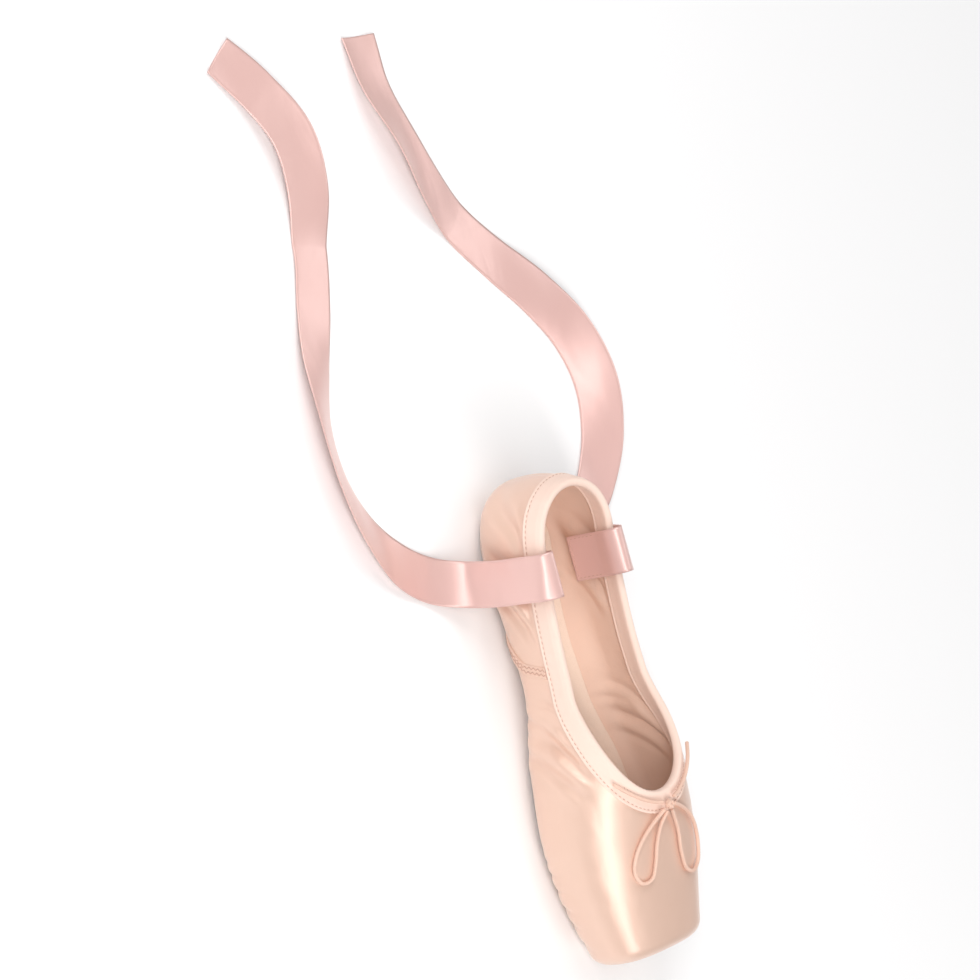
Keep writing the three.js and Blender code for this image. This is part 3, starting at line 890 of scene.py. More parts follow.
    def _surface(self, kit: NodeKit, place: bpy.types.NodeSocket) -> bpy.types.NodeSocket:
        """Normal of the grain, laid over the cloth's slow drape where it has one.

        Args:
            kit: Helper for the material's tree.
            place: Object coordinates.

        Returns:
            The normal.
        """
        drape = None
        if self.drape_depth > 0:
            pulled = kit.add("ShaderNodeMapping")
            pulled.inputs["Scale"].default_value = self.drape_scale
            pulled.inputs["Rotation"].default_value = self.drape_turn
            kit.join(place, pulled.inputs["Vector"])
            slow = self._noise(kit, pulled.outputs[0], self.drape_per_m, 2.0, 0.6)
            drape = self._bump(kit, slow, self.drape_depth)
        grain = self._noise(kit, place, self.grain_per_m, 4.0)
        return self._bump(kit, grain, self.grain_depth, drape)

    def _raised(
        self, kit: NodeKit, cloth: bpy.types.NodeSocket, height: bpy.types.NodeSocket
    ) -> bpy.types.NodeSocket:
        """Height of the weave, raised along a ribbon's selvedges.

        Args:
            kit: Helper for the material's tree.
            cloth: The cloth's own coordinates.
            height: Height of the weave.

        Returns:
            The height.
        """
        if self.selvedge_at <= 0:
            return height
        parts = kit.add("ShaderNodeSeparateXYZ")
        kit.join(cloth, parts.inputs[0])
        reach = kit.math("ABSOLUTE", parts.outputs[1])
        edge = kit.math("GREATER_THAN", reach, self.selvedge_at * MM)
        return kit.math("ADD", height, kit.math("MULTIPLY", edge, self.selvedge_height))


@dataclass
class Finishes:
    """Every finish of the shoe."""

    groups: ShaderGroups = field(default_factory=ShaderGroups)

    def __post_init__(self) -> None:
        """Build the materials."""
        def made(finish: ClothFinish) -> bpy.types.Material:
            """Build one finish."""
            return finish.build(self.groups)

        self.satin = made(ClothFinish(
            "peach_satin", (0.885, 0.63, 0.51), (0.80, 0.53, 0.41), roughness=0.37, sheen=0.2,
            specular=1.0, metallic=0.26, coat=0.6, coat_roughness=0.3, drape_depth=1.0,
            warp_per_mm=4.0, weft_per_mm=2.4, unevenness=0.6, weave_depth=0.015,
            mark_share=0.2, grain_per_m=420.0, grain_depth=0.05))
        self.lining = made(ClothFinish(
            "cotton_lining", (0.83, 0.61, 0.50), (0.75, 0.52, 0.41), roughness=0.85, sheen=0.2,
            specular=0.2, warp_per_mm=1.4, weft_per_mm=1.4, weave_depth=0.05, tone_share=0.4))
        self.casing = made(ClothFinish(
            "casing_tape", (0.96, 0.765, 0.665), (0.90, 0.665, 0.565), roughness=0.72, sheen=0.35,
            specular=0.25, warp_per_mm=1.8, weft_per_mm=1.8, weave_depth=0.035, tone_share=0.35))
        self.cord = made(ClothFinish(
            "drawstring_braid", (0.90, 0.64, 0.52), (0.78, 0.50, 0.39), roughness=0.65, sheen=0.35,
            specular=0.3, warp_per_mm=2.2, weft_per_mm=1.6, weave_depth=0.06, tone_share=0.5))
        self.thread = made(ClothFinish(
            "sewing_thread", (0.70, 0.44, 0.35), (0.56, 0.33, 0.25), roughness=0.5, sheen=0.2,
            specular=0.4, warp_per_mm=6.0, weft_per_mm=2.0, weave_depth=0.02, tone_share=0.4))
        self.ribbon = made(ClothFinish(
            "ribbon_satin", (0.84, 0.56, 0.515), (0.78, 0.48, 0.44), roughness=0.36,
            rough_spread=0.06, sheen=0.2, specular=0.9, metallic=0.22, coat=0.4,
            coat_roughness=0.33, drape_depth=0.7, warp_per_mm=4.5, weft_per_mm=2.6,
            unevenness=1.0, weave_depth=0.01, mark_share=0.1, grain_per_m=300.0,
            selvedge_at=10.1))
        self.leather = made(ClothFinish(
            "sole_split_leather", (0.86, 0.74, 0.69), (0.74, 0.61, 0.56), roughness=0.82,
            sheen=0.25, specular=0.25, warp_per_mm=0.9, weft_per_mm=0.9, unevenness=0.6,
            weave_depth=0.015, mark_share=0.45, grain_per_m=1500.0, grain_depth=0.12,
            tone_share=0.15))
        self.insole = made(ClothFinish(
            "insole_cotton", (0.91, 0.74, 0.62), (0.82, 0.63, 0.51), roughness=0.88, sheen=0.15,
            specular=0.2, warp_per_mm=1.2, weft_per_mm=1.2, weave_depth=0.06, tone_share=0.4,
            mark_share=0.35))


# --------------------------------------------------------------------------
# Upper
# --------------------------------------------------------------------------


@dataclass(frozen=True)
class Fold:
    """A soft crease of the upper, between two places on one side, in millimetres."""

    side: Side
    start_x: float
    start_z: float
    end_x: float
    end_z: float
    depth: float
    width: float


@dataclass
class Upper:
    """The satin upper: one hollow wall, lined inside, gathered under the toe."""

    last: Last
    finishes: Finishes
    rows: int = 84
    platform_rings: int = 14
    thickness: float = 2.0
    gathers: int = 30
    gather_depth: float = 1.35
    gather_centre: float = 183.0
    blend_width: float = 8.0
    flat_under_casing: float = 9.2
    relief_from_collar: float = 14.0
    seam_depth: float = 0.35
    seam_width: float = 0.9
    fold_bow: float = 2.5
    fold_spread: float = 0.55
    ridge_height: float = 0.55
    ridge_at: float = 1.05
    face_girth: float = 24.0
    folds: tuple[Fold, ...] = (
        Fold(Side.RIGHT, 116, 12, 142, 47, 1.9, 5.0),
        Fold(Side.RIGHT, 110, 10, 130, 36, 1.5, 4.2),
        Fold(Side.RIGHT, 127, 9, 152, 42, 1.1, 4.6),
        Fold(Side.RIGHT, 104, 22, 114, 37, 1.0, 3.4),
        Fold(Side.RIGHT, 46, 10, 76, 30, 1.6, 5.0),
        Fold(Side.RIGHT, 26, 13, 70, 38, 2.1, 6.5),
        Fold(Side.RIGHT, 6, 18, 40, 44, 1.8, 6.5),
        Fold(Side.LEFT, 116, 12, 140, 46, 1.8, 5.0),
        Fold(Side.LEFT, 110, 10, 126, 34, 1.3, 4.2),
        Fold(Side.LEFT, 128, 10, 150, 40, 0.9, 4.6),
        Fold(Side.LEFT, 46, 10, 74, 30, 1.4, 5.0),
        Fold(Side.LEFT, 24, 14, 66, 38, 1.8, 6.5),
    )

    def relief(self, points: Array, side: Side) -> Array:
        """How far the satin stands off the last.

        Args:
            points: Places on the skin, in millimetres, for the left half.
            side: Which half they stand for.

        Returns:
            Heights in millimetres, the same for both halves on the centre line.
        """
        x, y, z = points[..., 0], points[..., 1], points[..., 2]
        own = self._slack_height(x, z, side)
        shared = sum(self._slack_height(x, z, each) for each in Side) / len(Side)
        aside = smoothstep(0, self.blend_width, np.abs(y))
        height = shared + (own - shared) * aside + self._gather_height(x, y, z)
        seam = np.exp(-((y / self.seam_width) ** 2)) * (1 - smoothstep(4, 9, x))
        return height - self.seam_depth * seam

    def _slack_height(self, x: Array, z: Array, side: Side) -> Array:
        """Creases and slow waves of one side's satin."""
        height = np.zeros_like(x)
        for fold in self.folds:
            if fold.side is side:
                height += self._fold_height(fold, x, z)
        phase = 0.0 if side is Side.LEFT else 1.7
        slack = smoothstep(60, 100, x) * (1 - smoothstep(150, 185, x))
        height += 0.2 * slack * np.sin(x / 7.0 + z / 11.0 + phase) * np.sin(z / 8.0 - x / 23.0)
        quarter = 1 - smoothstep(85, 110, x)
        height += 0.38 * quarter * np.sin(x / 9.0 - z / 7.0 + phase) * np.sin(x / 17.0 + z / 13.0)
        return height + 0.05 * np.sin(x / 5.1 + z / 6.3 + phase) * np.sin(x / 9.7 - z / 4.9)

    def _fold_height(self, fold: Fold, x: Array, z: Array) -> Array:
        """Trough along a fold's line, with a low ridge on each side of it."""
        along_x, along_z = fold.end_x - fold.start_x, fold.end_z - fold.start_z
        length = math.hypot(along_x, along_z)
        share = ((x - fold.start_x) * along_x + (z - fold.start_z) * along_z) / length**2
        across = ((x - fold.start_x) * -along_z + (z - fold.start_z) * along_x) / length
        bow = self.fold_bow * np.sin(np.clip(share, 0, 1) * math.pi)
        ends = smoothstep(-0.12, 0.3, share) * (1 - smoothstep(0.7, 1.12, share))
        t = (across - bow) / fold.width
        trough = np.exp(-((t / self.fold_spread) ** 2))
        ridge = np.exp(-(((np.abs(t) - self.ridge_at) / self.fold_spread) ** 2))
        return fold.depth * ends * (self.ridge_height * ridge - trough)

    def _gather_height(self, x: Array, y: Array, z: Array) -> Array:
        """Pleats that fan out from the outsole's tip to the edge of the platform."""
        turn = np.arctan2(np.abs(y), x - self.gather_centre)
        wander = 0.5 * np.sin(3.1 * turn + 0.7) + 0.35 * np.sin(7.3 * turn)
        wave = np.abs(np.sin(self.gathers * turn / 2 + wander))
        pleat = wave**0.55 - 0.75
        reach = np.hypot(x - self.gather_centre, y)
        under = 1 - smoothstep(7, 26, z)
        ahead = smoothstep(math.radians(118), math.radians(78), turn)
        start = smoothstep(22, 30, reach)
        on_face = 1 - 0.7 * smoothstep(self.last.length - 1.0, self.last.length, x)
        return self.gather_depth * pleat * under * ahead * start * on_face

    def half_points(self, frame: RibFrame, side: Side) -> tuple[Array, Array]:
        """Outer places of one half and their cloth coordinates.

        Args:
            frame: The ribs.
            side: Which half is wanted.

        Returns:
            Places in metres in the frame, and UV coordinates in metres.
        """
        u, angle, run = frame.grid(self.rows)
        base = self.last.skin(u, angle)
        normal = self.last.outward(u, angle)
        normal[np.abs(base[..., 1]) < 1e-6, 1] = 0
        edge = self.last.skin(frame.top_u[: frame.throat + 1], frame.top_angle[: frame.throat + 1])
        from_collar = np.min([np.linalg.norm(base - place, axis=-1) for place in edge], axis=0)
        clear = smoothstep(self.flat_under_casing, self.relief_from_collar, from_collar)
        lift = self.relief(base, side) * clear
        points = base + normal * lift[..., None]
        uv = np.stack([u * MM, run * MM], -1)
        ring, ring_uv = points[-1], uv[-1]
        belly = float(self.last.section(self.last.toe_end)["belly"])
        middle = np.array([self.last.length, 0.0, belly])
        discs, disc_uvs = [], []
        for k in range(1, self.platform_rings + 1):
            share = k / self.platform_rings
            disc = ring + (middle - ring) * share
            disc[:, 0] = ring[:, 0] + (self.last.length - ring[:, 0]) * min(1.0, share * 2.5)
            discs.append(disc)
            disc_uvs.append(np.stack([(u[-1] + share * self.face_girth) * MM, ring_uv[:, 1]], -1))
        points = np.concatenate([points, np.array(discs)])
        uv = np.concatenate([uv, np.array(disc_uvs)])
        points[..., 1] *= side.value
        return in_frame(points), uv

    def build(self, frame: RibFrame) -> bpy.types.Object:
        """Make the upper with its wall.

        Args:
            frame: The ribs.

        Returns:
            The finished piece.
        """
        halves = [grid_bmesh(*self.half_points(frame, side)) for side in Side]
        whole = halves[0]
        for face in whole.faces:
            face.normal_flip()
        other = bpy.data.meshes.new("upper_half")
        halves[1].to_mesh(other)
        halves[1].free()
        whole.from_mesh(other)
        bpy.data.meshes.remove(other)

        def face_out(bm: bmesh.types.BMesh) -> None:
            """Turn the shell outwards, judged on the side of the box."""
            bm.normal_update()
            side = max(bm.faces, key=lambda face: face.calc_center_median().y)
            bmesh.ops.recalc_face_normals(bm, faces=bm.faces)
            bm.normal_update()
            if side.normal.y < 0:
                bmesh.ops.reverse_faces(bm, faces=bm.faces)

        piece = finish_piece(
            whole, "satin_upper", [self.finishes.satin, self.finishes.lining],
            merge=2e-5, outward_from=face_out)
        wall = piece.modifiers.new("wall", "SOLIDIFY")
        wall.thickness = self.thickness * MM
        wall.offset = -1
        wall.material_offset = 1
        wall.material_offset_rim = 1
        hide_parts("upper")
        return piece


# --------------------------------------------------------------------------
# Sole pieces
# --------------------------------------------------------------------------


@dataclass
class SolePiece:
    """A thin board under or inside the upper, worked out from the last's underside."""

    last: Last
    name: str
    node: str
    slot: str
    material: bpy.types.Material
    margin: float
    tip: float
    upper_lift: float
    lower_lift: float
    floor: bool
    across: int = 40
    steps: int = 180
    edge_round: float = 1.0
    round_share: float = 0.45

    def rings(self) -> tuple[Array, Array]:
        """Cross-sections from heel to tip.

        Returns:
            Places by section and place round it, and cloth coordinates.
        """
        heel_end = self.last.heel_centre - self.last.sole_heel_radius - self.margin
        arc = np.linspace(0, math.pi, self.steps + 1)
        x = heel_end + (self.tip - heel_end) * (1 - np.cos(arc)) / 2
        half = self.last.sole_half(x, self.margin, self.tip)
        half[[0, -1]] = 0
        spread = np.sin(RIGHT_ANGLE * np.linspace(-1, 1, self.across + 1))
        y = half[:, None] * spread
        xx = np.broadcast_to(x[:, None], y.shape)
        u, angle = self.last.underside(xx, y)
        z = self.last.skin(u, angle)[..., 2]
        slant = np.maximum(0.5, -self.last.outward(u, angle)[..., 2])
        edge = np.minimum(half[:, None] - np.abs(y), np.minimum(x - x[0], x[-1] - x)[:, None])
        inward = 1 - np.clip(edge / self.edge_round, 0, 1)
        soft = self.edge_round * (1 - np.sqrt(1 - inward**2)) * self.round_share
        upper = z + self.upper_lift / slant - soft
        lower = z + self.lower_lift / slant
        if self.floor:
            lower = np.maximum(0, lower)
        lower = lower + soft
        top = np.stack([xx, y, upper], -1)
        base = np.stack([xx, y, lower], -1)
        ring = np.concatenate([base, top[:, ::-1], base[:, :1]], axis=1)
        uv = np.stack([ring[..., 0] * MM, ring[..., 1] * MM], -1)
        return in_frame(ring), uv

    def build(self) -> bpy.types.Object:
        """Make the board and hide its plain solid."""
        piece = finish_piece(
            grid_bmesh(*self.rings()), self.name, [self.material], merge=1e-5)
        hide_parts(self.node)
        return piece


@dataclass
class SoleStitching:
    """The running stitch that holds the outsole, a little way in from its edge."""

    last: Last
    finishes: Finishes
    inset: float = 3.2
    sole_depth: float = 2.7
    lowest: float = 0.12
    steps: int = 240

    def build(self) -> bpy.types.Object:
        """Lay the stitches along both edges of the outsole's underside."""
        tip = self.last.sole_tip - self.inset
        start = self.last.heel_centre - self.last.sole_heel_radius + self.inset
        arc = np.linspace(0, math.pi, self.steps + 1)
        x = start + (tip - start) * (1 - np.cos(arc)) / 2
        half = self.last.sole_half(x, -self.inset, tip)
        lines, normals = [], []
        for side in Side:
            y = half * side.value
            u, angle = self.last.underside(x, y)
            slant = np.maximum(0.5, -self.last.outward(u, angle)[..., 2])
            z = np.maximum(self.lowest, self.last.skin(u, angle)[..., 2] - self.sole_depth / slant)
            lines.append(np.stack([x, y, z], -1))
            normals.append(np.broadcast_to([0.0, 0.0, -1.0], (len(x), 3)))
        stitches = StitchLine(
            "outsole_stitches", "sole_leather", self.finishes.thread, length=2.6, pitch=4.2,
            thickness=0.36)
        return stitches.bars(lines, normals)


# --------------------------------------------------------------------------
# Casing
# --------------------------------------------------------------------------


@dataclass
class Casing:
    """The tape folded over the collar, with the drawstring's tunnel in its edge."""

    last: Last
    finishes: Finishes
    depth: float = 9.0
    gap: float = 0.12
    skin: float = 0.75
    tunnel: float = 1.35
    gather_length: float = 2.3
    stitch_down: float = 7.5
    inside_rows: tuple[float, ...] = (9.0, 4.5, 0.0)
    steps: int = 26
    cross_spacing: float = 2.0
    cross_count: int = 9
    cross_start: float = 9.0
    cross_down: float = 3.4

    def edge(self, frame: RibFrame) -> tuple[Array, Array]:
        """Stations and angles of the collar's edge, from the back of the heel to the throat."""
        end = frame.throat + 1
        return frame.top_u[:end], frame.top_angle[:end]

    def downward(self, u: Array, angle: Array) -> Array:
        """Direction over the skin square to the collar's edge, away from the opening."""
        points = self.last.skin(u, angle)
        padded = np.vstack([points[1:2] * MIRROR, points, points[-2:-1] * MIRROR])
        tangent = unit(padded[2:] - padded[:-2])
        return unit(np.cross(self.last.outward(u, angle), tangent))

    def slide(
        self, u: Array, angle: Array, direction: Array, distance: float
    ) -> tuple[Array, Array]:
        """Move over the skin.

        Args:
            u: Stations to start from.
            angle: Angles to start from.
            direction: Directions in space.
            distance: How far to go, in millimetres.

        Returns:
            The new stations and angles.
        """
        step, moves = 0.01, 5
        skin = self.last.skin
        for _ in range(moves):
            along_u = (skin(u + step, angle) - skin(u - step, angle)) / (2 * step)
            along_a = (skin(u, angle + step) - skin(u, angle - step)) / (2 * step)
            uu, aa = (along_u**2).sum(-1), (along_a**2).sum(-1)
            ua = (along_u * along_a).sum(-1)
            du, da = (along_u * direction).sum(-1), (along_a * direction).sum(-1)
            scale = distance / moves / (uu * aa - ua * ua)
            u = u + (du * aa - da * ua) * scale
            angle = angle + (da * uu - du * ua) * scale
        return u, angle

    def place(self, frame: RibFrame, down: float, lift: Array | float) -> Array:
        """Line along the collar at a distance below its edge and a lift off the skin."""
        u, angle = self.edge(frame)
        direction = self.downward(u, angle)
        if down > 0:
            u, angle = self.slide(u, angle, direction, down)
        return self.last.layer(u, angle, lift)

    def build(self, frame: RibFrame) -> list[bpy.types.Object]:
        """Make the whole loop of tape and its sewing.

        Args:
            frame: The ribs.

        Returns:
            The finished pieces.
        """
        wall = self.last.wall
        outside = self.gap + self.skin
        u, angle = self.edge(frame)
        direction = self.downward(u, angle)
        normal = self.last.outward(u, angle)
        edge_line = self.last.skin(u, angle)
        run = run_along(edge_line)
        to_throat = run[-1] - run
        tight = 0.35 + 0.65 * (1 - smoothstep(25, 80, to_throat))
        pucker = np.sin(FULL_TURN * run / self.gather_length + 0.8 * np.sin(run / 6.0))
        lines: list[Array] = []
        downs = [self.depth * (1 - k / self.steps) for k in range(self.steps + 1)]

        def bulge(down: float) -> float:
            """Round tunnel near the edge, flat tape, a stitched-down groove and a raised hem."""
            tunnel = 0.2 * math.exp(-(((down - 1.8) / 1.6) ** 2))
            groove = -0.3 * math.exp(-(((down - self.stitch_down) / 0.4) ** 2))
            hem = 0.16 * math.exp(-(((down - 8.5) / 0.4) ** 2))
            return tunnel + groove + hem

        def crimp(down: float) -> Array:
            """Small puckers pulled up by the drawstring, strongest near the stitching."""
            return 0.12 * tight * pucker * math.exp(-(((down - self.stitch_down) / 3.4) ** 2))

        for down in downs:
            lines.append(self.place(frame, down, outside + bulge(down) + crimp(down)))
        half_width = (wall + 2 * outside) / 2 + 0.1
        head = edge_line - normal * (wall / 2) - direction * 0.25
        for degrees in (25, 50, 75, 90, 105, 130, 155):
            turn = math.radians(degrees)
            rise = (self.tunnel + 0.08 * tight * pucker) * math.sin(turn)
            lines.append(head + normal * half_width * math.cos(turn) - direction * rise[:, None])
        for down in reversed(downs):
            lines.append(self.place(frame, down, -wall - outside - 0.6 * bulge(down) - crimp(down)))
        for down in self.inside_rows:
            lines.append(self.place(frame, down, -wall - self.gap))
        for down in reversed(self.inside_rows):
            lines.append(self.place(frame, down, self.gap))
        lines.append(lines[0])
        half = np.stack(lines, axis=1)
        loop = np.concatenate([half, (half * MIRROR)[-2::-1]], axis=0)
        length = np.concatenate([run, 2 * run[-1] - run[-2::-1]])
        girth = run_along(half[len(half) // 2])
        uv = np.stack(np.broadcast_arrays(length[:, None] * MM, girth[None, :] * MM), -1)
        piece = finish_piece(
            grid_bmesh(in_frame(loop), uv), "collar_casing", [self.finishes.casing],
            merge=2e-5)
        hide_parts("binding")
        return [piece, self.stitching(frame), self.crosses(frame)]

    def stitching(self, frame: RibFrame) -> bpy.types.Object:
        """Sew the tape down with a row of running stitches round its outside."""
        lift = self.gap + self.skin - 0.2
        line = self.place(frame, self.stitch_down, lift)
        out = self.last.outward(*self.edge(frame))
        stitches = StitchLine(
            "casing_stitches", "casing", self.finishes.thread, length=1.7, pitch=2.5,
            thickness=0.42)
        return stitches.bars([line, line * MIRROR], [out, out * MIRROR])

    def crosses(self, frame: RibFrame) -> bpy.types.Object:
        """Tack the drawstring's tunnel with small crosses on either side of the throat."""
        top = self.place(frame, self.cross_down, self.gap + self.skin + 0.1)
        out = self.last.outward(*self.edge(frame))
        run = run_along(top)
        from_throat = run[-1] - run
        beyond = from_throat - self.cross_start
        near = (beyond > 0) & (beyond < self.cross_spacing * self.cross_count)
        stitches = StitchLine(
            "casing_crosses", "casing", self.finishes.thread, length=2.6,
            pitch=self.cross_spacing / 2, thickness=0.3)
        lines = [top[near], (top * MIRROR)[near]]
        return stitches.bars(lines, [out[near], (out * MIRROR)[near]], tilt=45)


# --------------------------------------------------------------------------
# Stitches and seams
# --------------------------------------------------------------------------


@dataclass
class StitchLine:
    """A row of short stitches, made as small bars of thread in one piece."""

    name: str
    slot: str
    material: bpy.types.Material
    length: float
    pitch: float
    thickness: float
    probe: float = 0.4

    def bars(
        self, lines: list[Array], normals: list[Array], tilt: float = 0.0
    ) -> bpy.types.Object:
        """Lay stitches along lines.

        Args:
            lines: Points of each line, in millimetres from the heel.
            normals: Directions out of the cloth at those points.
            tilt: Angle in degrees of each stitch to its line, turned about the cloth's normal.

        Returns:
            The finished piece.
        """
        bm = bmesh.new()
        layer = bm.loops.layers.uv.new("Cloth")
        for line, out in zip(lines, normals):
            run = run_along(line)
            count = max(1, int(run[-1] / self.pitch))
            for k in range(count):
                at = (k + 0.5) * run[-1] / count
                ahead = self._at(at + self.probe, run, line)
                behind = self._at(at - self.probe, run, line)
                up = unit(self._at(at, run, out))
                forward = unit(ahead - behind)
                sideways = np.cross(up, forward)
                swing = math.radians(tilt if k % 2 else -tilt)
                forward = unit(forward * math.cos(swing) + sideways * math.sin(swing))
                self._bar(bm, (ahead + behind) / 2, forward, up)
        for face in bm.faces:
            for loop in face.loops:
                loop[layer].uv = (loop.vert.co.x, loop.vert.co.y)
        return finish_piece(bm, self.name, [self.material], merge=1e-8)

    @staticmethod
    def _at(length: float, run: Array, values: Array) -> Array:
        """Values by column at a length along a line."""
        return np.array([np.interp(length, run, column) for column in values.T])

    def _bar(self, bm: bmesh.types.BMesh, centre: Array, forward: Array, up: Array) -> None:
        """Add one stitch, half sunk in the cloth."""
        side = unit(np.cross(up, forward))
        axes = np.column_stack([forward, side, unit(np.cross(forward, side))])
        thick = self.thickness / 2 * MM
        size = Matrix.Diagonal((self.length / 2 * MM, thick, thick, 1))
        place = Matrix.Translation(Vector(in_frame(centre)))
        matrix = place @ Matrix(axes.tolist()).to_4x4() @ size
        bmesh.ops.create_uvsphere(bm, u_segments=8, v_segments=6, radius=1, matrix=matrix)


@dataclass
class SideSeam:
    """The join of quarter and vamp: a narrow lapped band with zigzag stitching."""

    last: Last
    finishes: Finishes
    low_x: float = 71.0
    high_x: float = 91.0
    low_z: float = 6.0
    casing_gap: float = 9.5
    width: float = 6.0
    lift: float = 0.85
    bow: float = 2.0
    sunk: float = 0.3
    stitch_rows: tuple[float, ...] = (-0.42, 0.3)
    steps: int = 70
    across: int = 12

    def band(self, side: Side, share_across: Array, lift: Array | float) -> Array:
        """Lines of the band from the sole up to the casing.

        Args:
            side: Side of the shoe.
            share_across: Places across the band, from -1 to 1.
            lift: Height off the skin.

        Returns:
            Places in millimetres, by step and place across.
        """
        t = np.linspace(0, 1, self.steps + 1)[:, None]
        middle = self.low_x + (self.high_x - self.low_x) * t - self.bow * np.sin(t * math.pi)
        x = middle + share_across[None, :] * self.width / 2
        u = self.last.station_at(x)
        s = self.last.section(u)
        depth = np.clip((s["belly"] - self.low_z) / (s["belly"] - s["bottom"]), 0, 1)
        low = -np.arcsin(depth ** (s["below"] / 2))
        top_z = self.last.table(self.last.collar_line, x) - self.casing_gap
        high = self.last.angle_at_height(u, np.maximum(top_z, s["belly"] + 0.1))
        points = self.last.layer(u, low + (high - low) * t, np.broadcast_to(lift, x.shape))
        points[..., 1] *= side.value
        return points

    def normals(self, side: Side, share_across: float) -> Array:
        """Outward directions along the band at one place across it."""
        low = self.band(side, np.array([share_across]), 0.0)[:, 0]
        high = self.band(side, np.array([share_across]), 1.0)[:, 0]
        return high - low

    def build(self) -> list[bpy.types.Object]:
        """Make the band and its stitches on both sides."""
        pieces = []
        for side in Side:
            share = np.linspace(-1, 1, self.across + 1)
            rim = np.clip((1 - np.abs(share)) / 0.22, 0, 1) ** 0.5
            lip = 0.5 * np.exp(-(((share - 0.8) / 0.16) ** 2))
            over = self.band(side, share, (self.lift * rim + lip)[None, :])
            under = self.band(side, share, -self.sunk)
            ring = np.concatenate([over, under[:, ::-1], over[:, :1]], axis=1)
            ends = [np.broadcast_to(ring[k].mean(0), ring[k].shape)[None] for k in (0, -1)]
            ring = np.concatenate([ends[0], ring, ends[1]])
            uv = ring[..., [0, 2]] * MM
            name = side.name.lower()
            pieces.append(finish_piece(
                grid_bmesh(in_frame(ring), uv), f"side_seam_{name}",
                [self.finishes.satin], merge=1e-5))
            lines = [
                self.band(side, np.array([place]), self.lift + 0.02)[:, 0]
                for place in self.stitch_rows
            ]
            normals = [self.normals(side, place) for place in self.stitch_rows]
            stitches = StitchLine(
                f"side_seam_stitches_{name}", "satin", self.finishes.thread, length=2.5,
                pitch=1.3, thickness=0.55)
            pieces.append(stitches.bars(lines, normals, tilt=38))
        return pieces


# --------------------------------------------------------------------------
# Drawstring
# --------------------------------------------------------------------------


@dataclass(frozen=True)
class CordRun:
    """One run of the drawstring: its CAD node and its points over the vamp."""

    node: str
    far_end: str
    points: tuple[tuple[float, float, float], ...]


